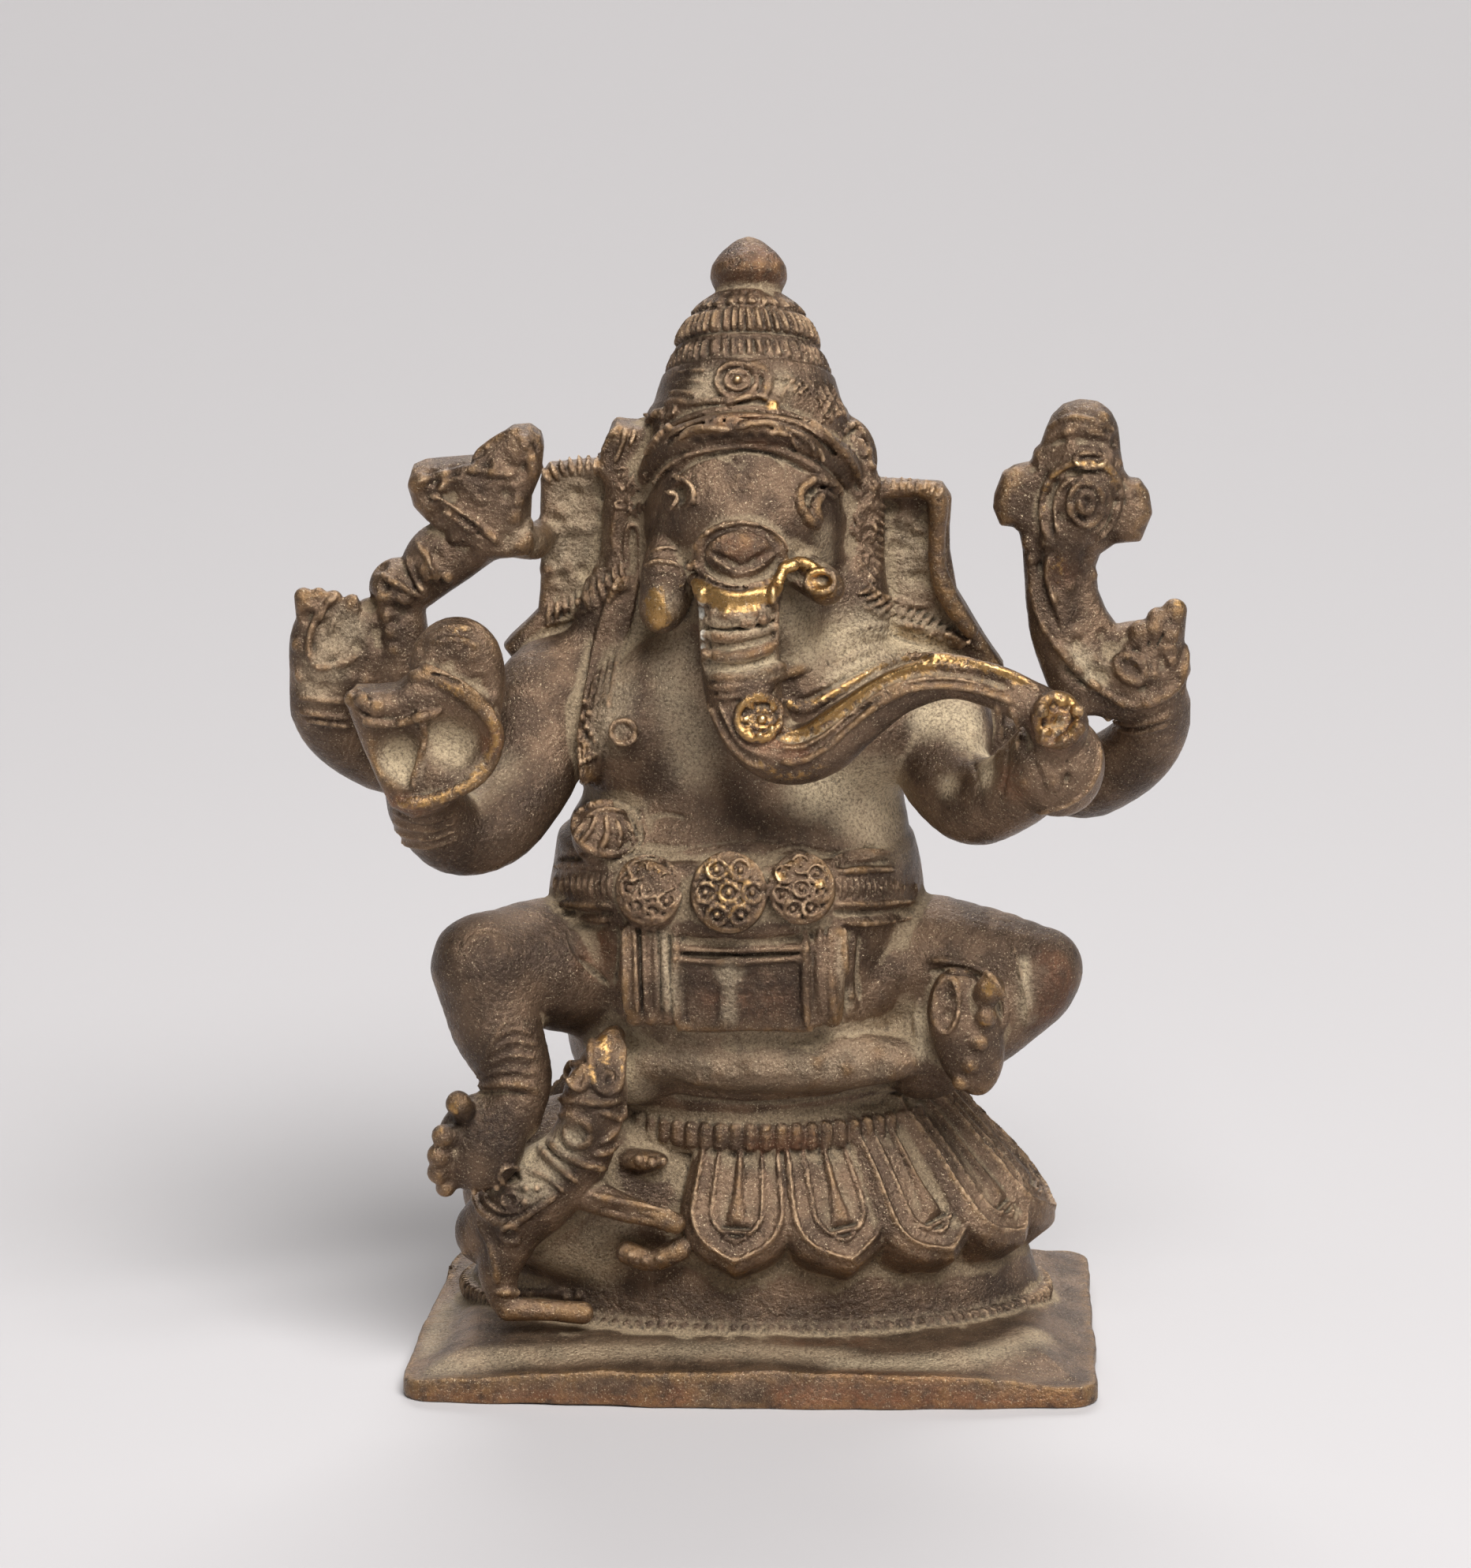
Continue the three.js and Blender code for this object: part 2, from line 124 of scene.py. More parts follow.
class Wax:
    """Distances to the surface on a grid, negative inside."""

    def __init__(self, low, high, cell):
        self.low = np.array(low, dtype=float)
        self.cell = cell
        self.shape = tuple(int(n) for n in np.ceil((np.array(high) - self.low) / cell) + 1)
        self.d = np.full(self.shape, FAR, dtype=np.float32)

    def window(self, low, high):
        """The part of the grid between two corners: its slices and its x, y and z."""
        first = np.floor((np.array(low) - self.low) / self.cell).astype(int)
        last = np.ceil((np.array(high) - self.low) / self.cell).astype(int) + 1
        slices = []
        axes = []
        for axis in range(3):
            start = min(max(first[axis], 0), self.shape[axis])
            stop = min(max(last[axis], start), self.shape[axis])
            slices.append(slice(start, stop))
            values = (self.low[axis] + self.cell * np.arange(start, stop)).astype(np.float32)
            shape = [1, 1, 1]
            shape[axis] = -1
            axes.append(values.reshape(shape))
        return tuple(slices), axes

    def field(self, shape, margin):
        """A shape's distances in its own window: a function with its lowest and highest corners."""
        function, low, high = shape
        slices, axes = self.window(np.array(low) - margin, np.array(high) + margin)
        return slices, function(*axes)

    def add(self, shape, blend=0.5):
        slices, distance = self.field(shape, blend + 2 * self.cell)
        self.d[slices] = smooth_min(self.d[slices], distance, blend)

    def cut(self, shape, blend=0.2):
        slices, distance = self.field(shape, blend + 2 * self.cell)
        self.d[slices] = smooth_max(self.d[slices], -distance, blend)

    def sample(self, points):
        """Distances at points, worked out between the cells."""
        place = (np.asarray(points) - self.low) / self.cell
        limit = np.array(self.shape) - 1.001
        place = np.clip(place, 0, limit)
        base = place.astype(int)
        part = place - base
        total = np.zeros(len(place))
        for corner in range(8):
            step = np.array([corner & 1, (corner >> 1) & 1, (corner >> 2) & 1])
            weight = np.prod(np.where(step == 1, part, 1 - part), axis=1)
            index = base + step
            total += weight * self.d[index[:, 0], index[:, 1], index[:, 2]]
        return total

    def normals(self, points, step):
        """The surface's directions at points, from the distances a step to either side."""
        slope = np.empty_like(points)
        for axis in range(3):
            offset = np.zeros(3)
            offset[axis] = step
            slope[:, axis] = self.sample(points + offset) - self.sample(points - offset)
        return slope / np.maximum(np.linalg.norm(slope, axis=1, keepdims=True), SMALL)


wax = Wax(CAD_LOW - 0.6, CAD_HIGH + 0.6, CELL)
chance = np.random.default_rng(SEED)


# Shapes: each is a function of x, y and z with the lowest and highest corner of the box that holds it


def corner_distance(first, second):
    """Distance from a corner of two faces, round outside it."""
    outside = np.sqrt(np.maximum(first, 0) ** 2 + np.maximum(second, 0) ** 2)
    return outside + np.minimum(np.maximum(first, second), 0)


def turned(degrees):
    """Rows of the matrix that takes a place back into a shape turned about X, then Y, then Z."""
    x, y, z = (math.radians(angle) for angle in degrees)
    turn = Matrix.Rotation(x, 3, "X") @ Matrix.Rotation(y, 3, "Y") @ Matrix.Rotation(z, 3, "Z")
    return np.array(turn.transposed(), dtype=np.float32)


def ball(centre, radii, turn=(0, 0, 0)):
    """A ball with three radii, turned by three angles in degrees."""
    rows = turned(turn)
    radii = np.array(radii, dtype=np.float32)

    def distance(x, y, z):
        dx, dy, dz = x - centre[0], y - centre[1], z - centre[2]
        local = [row[0] * dx + row[1] * dy + row[2] * dz for row in rows]
        first = np.sqrt(sum((v / r) ** 2 for v, r in zip(local, radii)))
        second = np.sqrt(sum((v / (r * r)) ** 2 for v, r in zip(local, radii)))
        return first * (first - 1) / np.maximum(second, SMALL)

    reach = np.sqrt(((rows * radii[:, None]) ** 2).sum(axis=0))
    return distance, np.array(centre) - reach, np.array(centre) + reach


def curve(stations, steps):
    """Stations of any numbers, joined by a smooth curve that passes through each."""
    stations = np.array(stations, dtype=float)
    if len(stations) < 3:
        steps = 1
    padded = np.vstack([2 * stations[0] - stations[1], stations, 2 * stations[-1] - stations[-2]])
    points = []
    for i in range(1, len(padded) - 2):
        before, start, end, after = padded[i - 1:i + 3]
        for t in np.arange(steps) / steps:
            points.append(0.5 * (
                2 * start + (end - before) * t
                + (2 * before - 5 * start + 4 * end - after) * t ** 2
                + (3 * start - 3 * end + after - before) * t ** 3
            ))
    points.append(stations[-1])
    return np.array(points)


def limb(stations):
    """A round limb through stations of x, y, z and radius."""
    points = curve(stations, CURVE_STEPS)

    def distance(x, y, z):
        nearest = None
        for start, end in zip(points[:-1], points[1:]):
            along = end[:3] - start[:3]
            length = max(float(along @ along), 1e-9)
            dx, dy, dz = x - start[0], y - start[1], z - start[2]
            share = np.clip((dx * along[0] + dy * along[1] + dz * along[2]) / length, 0, 1)
            gap = np.sqrt(
                (dx - share * along[0]) ** 2 + (dy - share * along[1]) ** 2 + (dz - share * along[2]) ** 2
            ) - (start[3] + share * (end[3] - start[3]))
            nearest = gap if nearest is None else np.minimum(nearest, gap)
        return nearest

    radii = points[:, 3:4]
    return distance, (points[:, :3] - radii).min(axis=0), (points[:, :3] + radii).max(axis=0)


def stack(levels, edge=0.3):
    """Level ovals of z, half width, half depth and centre x and y, with a smooth outline."""
    levels = np.array([tuple(level) + (0.0,) * (5 - len(level)) for level in levels])
    rows = curve(levels, CURVE_STEPS)
    rows[:, 0] = np.maximum.accumulate(rows[:, 0])

    def distance(x, y, z):
        height = z.ravel()
        found = [np.interp(height, rows[:, 0], rows[:, i]) for i in range(1, 5)]
        rx, ry, cx, cy = (values.astype(np.float32).reshape(z.shape) for values in found)
        px = (x - cx) / rx
        py = (y - cy) / ry
        first = np.sqrt(px * px + py * py)
        second = np.sqrt((px / rx) ** 2 + (py / ry) ** 2)
        side = first * (first - 1) / np.maximum(second, SMALL)
        ends = np.maximum(levels[0][0] - z, z - levels[-1][0])
        return smooth_max(side, ends + 0 * side, edge)

    reach_x = levels[:, 1] + np.abs(levels[:, 3])
    reach_y = levels[:, 2] + np.abs(levels[:, 4])
    low = (-reach_x.max(), -reach_y.max(), levels[0][0])
    high = (reach_x.max(), reach_y.max(), levels[-1][0])
    return distance, np.array(low), np.array(high)


def outline_distance(outline, across, up):
    """Distance to a closed outline of points in a plane, negative inside it."""
    points = np.array(outline, dtype=np.float32)
    nearest = None
    inside = np.zeros(np.broadcast(across, up).shape, dtype=bool)
    for start, end in zip(points, np.roll(points, -1, axis=0)):
        edge = end - start
        dx, dz = across - start[0], up - start[1]
        share = np.clip((dx * edge[0] + dz * edge[1]) / max(float(edge @ edge), 1e-9), 0, 1)
        gap = (dx - share * edge[0]) ** 2 + (dz - share * edge[1]) ** 2
        nearest = gap if nearest is None else np.minimum(nearest, gap)
        crosses = (start[1] > up) != (end[1] > up)
        rise = edge[1] if abs(edge[1]) > 1e-9 else 1e-9
        inside ^= crosses & (across < start[0] + edge[0] * (up - start[1]) / rise)
    return np.where(inside, -1, 1) * np.sqrt(nearest)


def slab(outline, y, thickness, rounding):
    """An upright slab: an outline of x and z points from depth y backwards, with round edges."""
    centre = y + thickness / 2

    def distance(x, y, z):
        flat = outline_distance(outline, x, z) + rounding
        deep = np.abs(y - centre) - thickness / 2 + rounding
        return corner_distance(flat, deep) - rounding

    points = np.array(outline)
    low = (points[:, 0].min(), y, points[:, 1].min())
    high = (points[:, 0].max(), y + thickness, points[:, 1].max())
    return distance, np.array(low), np.array(high)


def seen(a, b, y):
    """The place at depth y that is seen at (a, b) on the sight plane."""
    eye = TARGET + CAMERA_DISTANCE * BACK
    through = TARGET + a * RIGHT + b * UP
    share = (y - eye[1]) / (through[1] - eye[1])
    return eye + share * (through - eye)


def seen_slab(outline, seen_at, y, thickness, rounding):
    """A slab whose outline of (a, b) is the one seen at a depth."""
    return slab([tuple(seen(a, b, seen_at)[[0, 2]]) for a, b in outline], y, thickness, rounding)


def seen_limb(stations):
    """A limb through stations of a, b, depth y and radius."""
    return limb([(*seen(a, b, y), radius) for a, b, y, radius in stations])


# The masses of the figure


def bump(value, centre, width):
    """A soft bump of height 1 at a centre."""
    return np.exp(-((value - centre) / width) ** 2)


def ramp(value, start, end):
    """0 before start and 1 after end, with a soft change between them."""
    share = np.clip((value - start) / (end - start), 0, 1)
    return share * share * (3 - 2 * share)


def plate():
    """The foot plate: thickest in the middle of the front, rounder at the back left."""
    half_width, half_depth, corner = PLATE["half_width"], PLATE["half_depth"], PLATE["corner"]

    def distance(x, y, z):
        backwards = ramp(y, -half_depth, half_depth)
        bow = 1.1 * (x / half_width) ** 2 * (1 - backwards)
        left_lean = 1.9 * backwards * ramp(-x, 0, half_width)
        right_lean = 0.4 * backwards * ramp(x, 0, half_width)
        wander = 0.07 * np.sin(0.45 * x + 1) + 0.05 * np.sin(1.1 * x) + 0.06 * np.sin(0.8 * y + 2)
        rounding = corner + 2.4 * backwards * ramp(-x, 0, half_width)
        qx = np.abs(x) - (half_width - left_lean - right_lean) + rounding
        qy = np.abs(y) - (half_depth - bow) + rounding
        rim = corner_distance(qx, qy) - rounding - 0.22 + wander
        thick = 1.45 + 1.25 * (1 - (x / half_width) ** 2) * (1 - 0.6 * backwards)
        top = thick + (3.0 - thick) * ramp(-rim, 0.8, 5.0) + 0.6 * wander
        side = smooth_max(rim + 0 * z, z - top, 0.25)
        return smooth_max(side, 0.02 - z, 0.3)

    return distance, np.array([-half_width, -half_depth, 0]), np.array([half_width, half_depth, 3.2])


def pedestal_level(z, oval, share=1.0, inset=0.0):
    """A level of the pedestal: an oval made smaller by a share or an inset."""
    half_width = oval["half_width"] * share - inset
    half_depth = oval["half_depth"] * share - inset
    return z, half_width, half_depth, oval.get("x", 0), DRUM["y"]


def pedestal():
    DRUM_LEVELS = [(1.2, 0.965), (2.4, 0.97), (4.2, 0.945), (7.6, 0.89)]
    SEAT_LEVELS = [(15.6, 0.91), (17, 0.94), (18.6, 0.9)]
    wax.add(stack([pedestal_level(z, DRUM, share) for z, share in DRUM_LEVELS]), 0.8)
    wax.add(stack([
        pedestal_level(7.0, DRUM, 0.86),
        pedestal_level(LOTUS_TIP["z"] + 1, LOTUS_TIP, inset=1.9),
        pedestal_level(LOTUS_MIDDLE["z"], LOTUS_MIDDLE, inset=0.4),
        pedestal_level(LOTUS_TOP["z"] - 0.4, LOTUS_TOP, inset=0.4),
        pedestal_level(16.4, SEAT, 0.9),
    ]), 0.5)
    wax.add(stack([pedestal_level(z, SEAT, share) for z, share in SEAT_LEVELS]), 0.2)
    # A low swelling beside the mouse, and the cloth of the lap that spills over the seat
    wax.add(ball((-11.4, -1.6, 11.6), (9.4, 6.2, 7)), 1.2)
    wax.add(ball(seen(1.6, -16.4, -6.6), (10.8, 3.0, 2.4)), 1.4)
    wax.add(ball(seen(-8.6, -16.8, -5.0), (3.2, 2.6, 3.0)), 1.4)
    add_beaded_oval(DRUM, 0, 3.05, 0.62, 150, 0.28)
    add_beaded_oval(SEAT, 0.35, 17.2, 1.0, 74, 0.4)


def add_beaded_oval(oval, inset, z, half_height, count, relief):
    """A band round the pedestal, milled into a count of upright teeth."""
    _, half_width, half_depth, x, _ = pedestal_level(z, oval, inset=inset)

    def distance(px, py, pz):
        dx = (px - x) / half_width
        dy = (py - DRUM["y"]) / half_depth
        turn = np.arctan2(dx, -dy)
        tooth = np.abs(np.sin(turn * count / 2)) ** 0.6
        radius = 1 + relief * (tooth - 1) / half_depth
        first = np.sqrt(dx * dx + dy * dy)
        second = np.sqrt((dx / half_width) ** 2 + (dy / half_depth) ** 2)
        side = first * (first - radius) / np.maximum(second, SMALL)
        crown = half_height * (1 - 0.25 * (1 - tooth))
        return smooth_max(side, np.abs(pz - z) - crown, 0.5)

    low = (x - half_width, DRUM["y"] - half_depth, z - half_height)
    high = (x + half_width, DRUM["y"] + half_depth, z + half_height)
    wax.add((distance, np.array(low), np.array(high)), 0.15)


def petal(angle):
    """One hanging lotus petal: a cushion with a lip, two threads along its outline and a middle tongue."""
    WIDE = 4.2
    OUTER_THREAD = 1.0
    INNER_THREAD = 2.4
    TONGUE = 0.7

    def place(tier, inset):
        return np.array([
            (tier["half_width"] - inset) * math.sin(angle),
            DRUM["y"] - (tier["half_depth"] - inset) * math.cos(angle),
            tier["z"],
        ])

    root = place(LOTUS_TOP, 0.9)
    tip = place(LOTUS_TIP, 0)
    outwards = np.array([math.sin(angle), -math.cos(angle), 0])
    along = tip - root
    length = np.linalg.norm(along)
    along = along / length
    across = np.cross(outwards, along)
    across = across / np.linalg.norm(across)
    out = np.cross(along, across)
    if out @ outwards < 0:
        out = -out
    tongue_end = length - WIDE + 0.9
    step_end = length - 2.2

    def distance(x, y, z):
        dx, dy, dz = x - root[0], y - root[1], z - root[2]
        l, w, h = (dx * axis[0] + dy * axis[1] + dz * axis[2] for axis in (along, across, out))
        narrowing = 0.8 + 0.2 * ramp(l, -1.0, 0.6 * length)
        w = np.abs(w) / narrowing
        point = 0.3 * np.maximum(1.3 - w, 0)
        inside = WIDE - np.sqrt(w * w + np.maximum(l - point - (length - WIDE), 0) ** 2)
        cushion = 1.25 * np.sqrt(np.clip(1 - (1 - np.clip(inside / 1.7, 0, 1)) ** 2, 0, 1)) + 0.1
        dish = -0.14 * ramp(inside, OUTER_THREAD, OUTER_THREAD + 0.5)
        threads_up = 0.34 * bump(inside, OUTER_THREAD, 0.17) + 0.34 * bump(inside, INNER_THREAD, 0.17)
        tongue_width = 0.3 + (TONGUE - 0.3) * ramp(l, 0.3 * length, tongue_end)
        tongue = 0.42 * np.sqrt(np.clip(1 - (w / tongue_width) ** 2, 0, 1))
        tongue = tongue * ramp(tongue_end - l, -0.35, 0.3)
        on_steps = ramp(l, tongue_end, tongue_end + 0.3) * ramp(step_end - l, -0.1, 0.3)
        on_steps = on_steps * ramp(1.2 - w, 0, 0.3)
        steps = 0.26 * on_steps * np.cos(2 * math.pi * (l - tongue_end) / 0.62)
        height = cushion + dish + threads_up + tongue + steps
        return smooth_max(0.75 * (h - height), -inside, 0.25)

    spread = np.array([WIDE, WIDE, 2.6])
    return distance, np.minimum(root, tip) - spread, np.maximum(root, tip) + spread


def petals():
    FIRST_DEGREES = -3.2
    STEP_DEGREES = 22.5
    COUNT = 12
    for i in range(COUNT):
        wax.add(petal(math.radians(FIRST_DEGREES + i * STEP_DEGREES)), 0.12)


def torso():
    """The belly, the chest and the two breasts."""
    wax.add(stack([
        (17.6, 11.4, 8.6, -0.4, 2.4), (21, 12.6, 9.6, -0.6, 1.6), (25, 12.8, 9.8, -0.8, 0.6),
        (30, 13, 10, -1, -0.2), (34.6, 12.8, 10.2, -1.2, -0.6), (38.2, 12, 9.2, -1.1, -0.3),
        (40.6, 11.3, 8.2, -0.8, 0.2), (44, 11.9, 7.4, -0.8, 0.8), (47.6, 13.4, 6.4, -0.4, 1.4),
        (50.2, 12.2, 5.6, -0.2, 1.8), (52.4, 8.4, 5, -0.3, 1.8), (56, 5.8, 4.8, -0.4, 1.6),
    ], 0.8), 0.6)
    wax.add(ball((-8.0, -2.4, 46), (5.2, 4.4, 4.6)), 2.0)
    wax.add(ball((7.6, -2.6, 46), (5.2, 4.2, 4.4)), 1.6)
    wax.add(ball((-1.0, -3.2, 49.5), (8.0, 3.6, 4.6)), 2.0)


def girdle():
    """The belt, the apron with the ribbons beside it, the snake's knot and three rosettes."""
    BELT = [(32.6, 12.9, 10), (33.6, 13.2, 10.6), (37.2, 12.7, 10.3), (38, 12.1, 9.6)]
    wax.add(stack([level + (-1.3, -0.6) for level in BELT], 0.4), 0.2)
    wax.add(slab([(-5.6, 32.6), (-5.2, 25.8), (4.3, 25.8), (4.6, 32.6)], -10.6, 4, 0.5), 0.2)
    for x in (-8.4, -7.2, -6.0, 3.4, 4.7, 5.9):
        wax.add(limb([(x, -9.6, 33, 0.6), (x * 0.98, -9.9, 30, 0.7), (x * 0.96, -9.7, 26.8, 0.7)]), 0.2)
    wax.add(ball((-10.4, -6.6, 39), (2.3, 1.9, 2.2)), 0.4)
    for x, y, z, r in ((-7.2, -10, 35.7, 2.4), (-1.6, -11.2, 36.1, 2.7), (3.6, -10.8, 36.3, 2.3)):
        wax.add(ball((x, y, z), (r, 1, r * 1.05), (-6, 0, x * 3)), 0.15)


def toe(foot, end):
    """A toe that grows out of the foot's middle."""
    start = [(foot[i] + end[i]) / 2 for i in range(3)]
    start[1] += 0.6
    return limb([tuple(start) + (end[3] * 0.9,), end])


def legs():
    """The left leg hangs over the seat and the right one is folded on it, each with its foot and toes."""
    left_knee = (-18.8, -7.2, 29.6, 3.6)
    right_knee = (20.2, -4.5, 28.9, 3.0)
    wax.add(limb([(-7, 1, 27, 5.4), (-13.4, -3, 28.6, 4.8), left_knee]), 1.0)
    wax.add(limb([left_knee, (-18, -8, 25.8, 3.2), (-16.6, -8.4, 22, 2.5), (-17, -8.8, 19.4, 2.3)]), 0.8)
    wax.add(limb([(6, 1, 27, 5.4), (12.6, -2, 28.8, 4.6), right_knee]), 1.0)
    wax.add(limb([(19.2, -4.6, 27.6, 3.2), (15.6, -4.4, 24.8, 3.4), (12, -3.2, 22.6, 3.6)]), 0.8)
    hanging_foot = (-19, -9.6, 17.4)
    folded_foot = (15, -8.2, 25.4)
    wax.add(ball(hanging_foot, (3.2, 1.8, 3.6), (0, 25, -20)), 0.5)
    wax.add(ball(folded_foot, (2.5, 1.8, 4.7), (0, -14, 0)), 0.4)
    hanging_toes = [
        (-20.5, -11.0, 20.6, 1.0), (-21.5, -10.9, 18.3, 0.85), (-21.9, -10.7, 16.8, 0.78),
        (-22.0, -10.4, 15.4, 0.72), (-21.5, -10, 14.2, 0.66),
    ]
    folded_toes = [
        (16.7, -9.9, 29.1, 1.0), (16.4, -9.9, 27, 0.8), (15.9, -9.7, 25.1, 0.72), (15.3, -9.5, 23.4, 0.72),
        (14.6, -9.2, 22.0, 0.6),
    ]
    for end in hanging_toes:
        wax.add(toe(hanging_foot, end), 0.4)
    for end in folded_toes:
        wax.add(toe(folded_foot, end), 0.3)


def arms():
    # Left back arm
    wax.add(limb([
        (-13, 3, 46.6, 3), (-19, 3, 43.8, 2.9), (-24.6, 0.4, 42.8, 2.8), (-28.4, -2.2, 44.8, 2.6),
        (-30.0, -3.8, 47.6, 2.5), (-29.9, -4.6, 50.6, 2.4),
    ]), 0.8)
    wax.add(ball(seen(-29.9, 12.6, -5.0), (3.0, 1.8, 3.6), (0, -4, 0)), 0.8)
    wax.add(ball(seen(-27.2, 12.6, -4.8), (2.4, 1.9, 3.6), (0, 6, 0)), 0.6)
    FINGERS = [(-31.9, 16.2, 0.66), (-30.9, 16.3, 0.58), (-29.8, 16.0, 0.66), (-28.5, 15.7, 0.72)]
    for a, b, radius in FINGERS:
        wax.add(seen_limb([(a * 0.8 - 6.0, b - 2.2, -5.4, radius + 0.2), (a, b, -5.8, radius)]), 0.3)
    # Right back arm
    wax.add(limb([
        (12, 3, 46.4, 2.9), (18, 3, 42.6, 2.9), (23, 1, 41.4, 2.8), (26.6, -1.4, 43.8, 2.6),
        (28.0, -3, 47, 2.5), (27.2, -4, 49.8, 2.4),
    ]), 0.8)
    wax.add(ball(seen(26.4, 11.0, -4.4), (4.2, 2.0, 3.4), (0, -24, 0)), 0.8)
    wax.add(ball(seen(23.4, 11.6, -4.4), (2.6, 1.8, 3.8), (0, -24, 0)), 0.6)
    wax.add(seen_limb([(28.7, 12.0, -4.8, 1.4), (29.55, 15.2, -5.2, 0.85)]), 0.4)
    wax.add(seen_limb([(27.9, 12.0, -4.8, 1.2), (28.4, 14.7, -5.4, 0.8)]), 0.3)
    wax.add(seen_limb([(26.8, 11.8, -4.8, 1.2), (27.2, 13.8, -5.4, 0.8)]), 0.3)
    # Left front arm with its cupped hand and the thumb that stands up
    wax.add(limb([
        (-11, 1, 48, 3.8), (-14.8, -1.2, 47.6, 3.7), (-15.6, -3.6, 43.6, 3.5), (-17.8, -6.8, 40.3, 3.2),
        (-20.6, -9, 39.8, 2.9), (-22.6, -11.6, 42.6, 2.6), (-22.2, -13.4, 45, 2.4),
    ]), 0.9)
    hand = [
        (-29.0, 9.0), (-28.3, 9.8), (-26.8, 9.8), (-25.4, 9.9), (-24.0, 10.9), (-21.5, 10.6),
        (-19.4, 9.6), (-18.1, 7.9), (-17.9, 6.0), (-18.9, 4.2), (-20.0, 2.8), (-21.8, 1.2), (-24.2, 0.6),
        (-25.8, 1.4), (-26.6, 3.0), (-27.3, 4.6), (-28.2, 6.6),
    ]
    wax.add(seen_slab(hand, -15.2, -16.4, 3.4, 1.3), 0.5)
    wax.cut(ball(seen(-25.5, 5.4, -16.9), (1.5, 1.2, 2.7), (0, -18, 0)), 0.5)
    wax.cut(ball(seen(-21.3, 6.4, -17.0), (2.3, 1.4, 2.9), (0, 12, 0)), 0.5)
    wax.add(ball(seen(-21.1, 11.6, -13.6), (3.1, 1.9, 3.2), (0, 8, 0)), 0.4)
    wax.add(ball(seen(-18.9, 9.6, -13.0), (1.2, 1.6, 3.0), (0, 6, 0)), 0.6)
    # Right front arm and the fist at the trunk's end
    wax.add(limb([
        (11, 1, 47, 3.6), (13.2, -1.4, 46.2, 3.4), (13.4, -4.6, 43.4, 3.3), (15.4, -7.6, 42, 3.1),
        (18.2, -10.4, 43.6, 2.8), (20.3, -13.0, 46.4, 2.8),
    ]), 0.9)
    wax.add(ball((21.2, -13.2, 46.0), (3.2, 2.5, 3.6)), 0.5)
    wax.add(ball((21.1, -15.0, 49.4), (2.1, 1.7, 2.2)), 0.3)


def emblems():
    # Left: a broad axe-like head on a curling stem
    wax.add(seen_limb([(-25.0, 11.4, -4.8, 2.0), (-25.2, 15.6, -4.8, 1.9)]), 0.3)
    wax.add(ball(seen(-25.1, 16.8, -4.9), (2.2, 2.1, 2.1), (0, 30, 0)), 0.2)
    wax.add(ball(seen(-22.7, 19.0, -4.9), (2.0, 2.1, 2.7), (0, 40, 0)), 0.2)
    wax.add(seen_limb([(-23.6, 17.0, -4.6, 1.6), (-19.6, 20.6, -4.6, 2.0)]), 0.4)
    blade = [
        (-24.5, 24.2), (-24.2, 25.4), (-23.3, 25.8), (-21.2, 26.0), (-20.0, 26.1), (-18.6, 27.3),
        (-17.2, 28.3), (-15.9, 28.4), (-15.1, 27.8), (-14.9, 27.0), (-15.2, 25.0), (-15.9, 23.4),
        (-16.0, 21.5), (-15.5, 20.2), (-15.8, 19.3), (-17.5, 19.1), (-19.5, 19.0), (-21.5, 20.5),
        (-23.2, 21.8), (-24.1, 22.8),
    ]
    wax.add(seen_slab(blade, -5.0, -7.2, 4.4, 1.6), 0.5)
    wax.add(limb([
        (*seen(-18, 20.6, -4.4), 1.4), (*seen(-15.7, 20.0, -1.4), 1.1), (-15.2, 1.6, 58.6, 1),
    ]), 0.4)
    # Right: a conch between two lobes
    wax.add(limb([
        (22.8, -4.2, 49.4, 2.2), (21.4, -4.2, 53.4, 2.2), (21.1, -4.1, 57.4, 2.2), (21.8, -4.2, 60.8, 2.6),
        (22.8, -4.3, 63.6, 2.8), (23.0, -4.3, 66.0, 2.5), (23.0, -4.3, 67.4, 2.3),
    ]), 0.4)
    conch = [
        (20.9, 29.0), (21.7, 29.8), (22.9, 30.1), (24.2, 29.9), (25.0, 29.2), (25.3, 28.2), (25.4, 26.5),
        (25.8, 25.2), (26.4, 24.6), (27.1, 24.5), (27.7, 23.6), (27.9, 22.2), (27.2, 20.2), (25.4, 20.0),
        (24.3, 19.3), (23.9, 18.2), (24.1, 16.6), (24.7, 15.2), (25.3, 14.4), (24.5, 12.0), (22.0, 10.6),
        (20.8, 12.0), (20.0, 13.5), (19.3, 15.5), (19.1, 17.5), (18.9, 19.5), (18.7, 20.9), (18.2, 21.3),
        (17.3, 21.4), (16.8, 22.6), (16.9, 23.4), (17.5, 25.0), (18.2, 25.4), (19.4, 25.6), (20.1, 26.5),
        (20.5, 28.0),
    ]
    wax.add(seen_slab(conch, -4.2, -5.6, 2.8, 1.1), 0.4)


TRUNK = [
    (-0.7, -6, 60.2, 3.5), (-0.8, -8.4, 58.2, 3), (-0.8, -9.4, 55, 2.7), (-0.7, -10.2, 52, 2.7),
    (-0.1, -11.2, 49, 2.6), (1.8, -12.2, 46.8, 2.3), (4.4, -12.9, 46.9, 2.1), (7, -13.4, 49, 1.9),
    (10.2, -13.8, 51.4, 1.6), (13.5, -14.2, 52.5, 1.4), (16.6, -14.6, 52, 1.5), (19.4, -15, 50.8, 1.6),
]


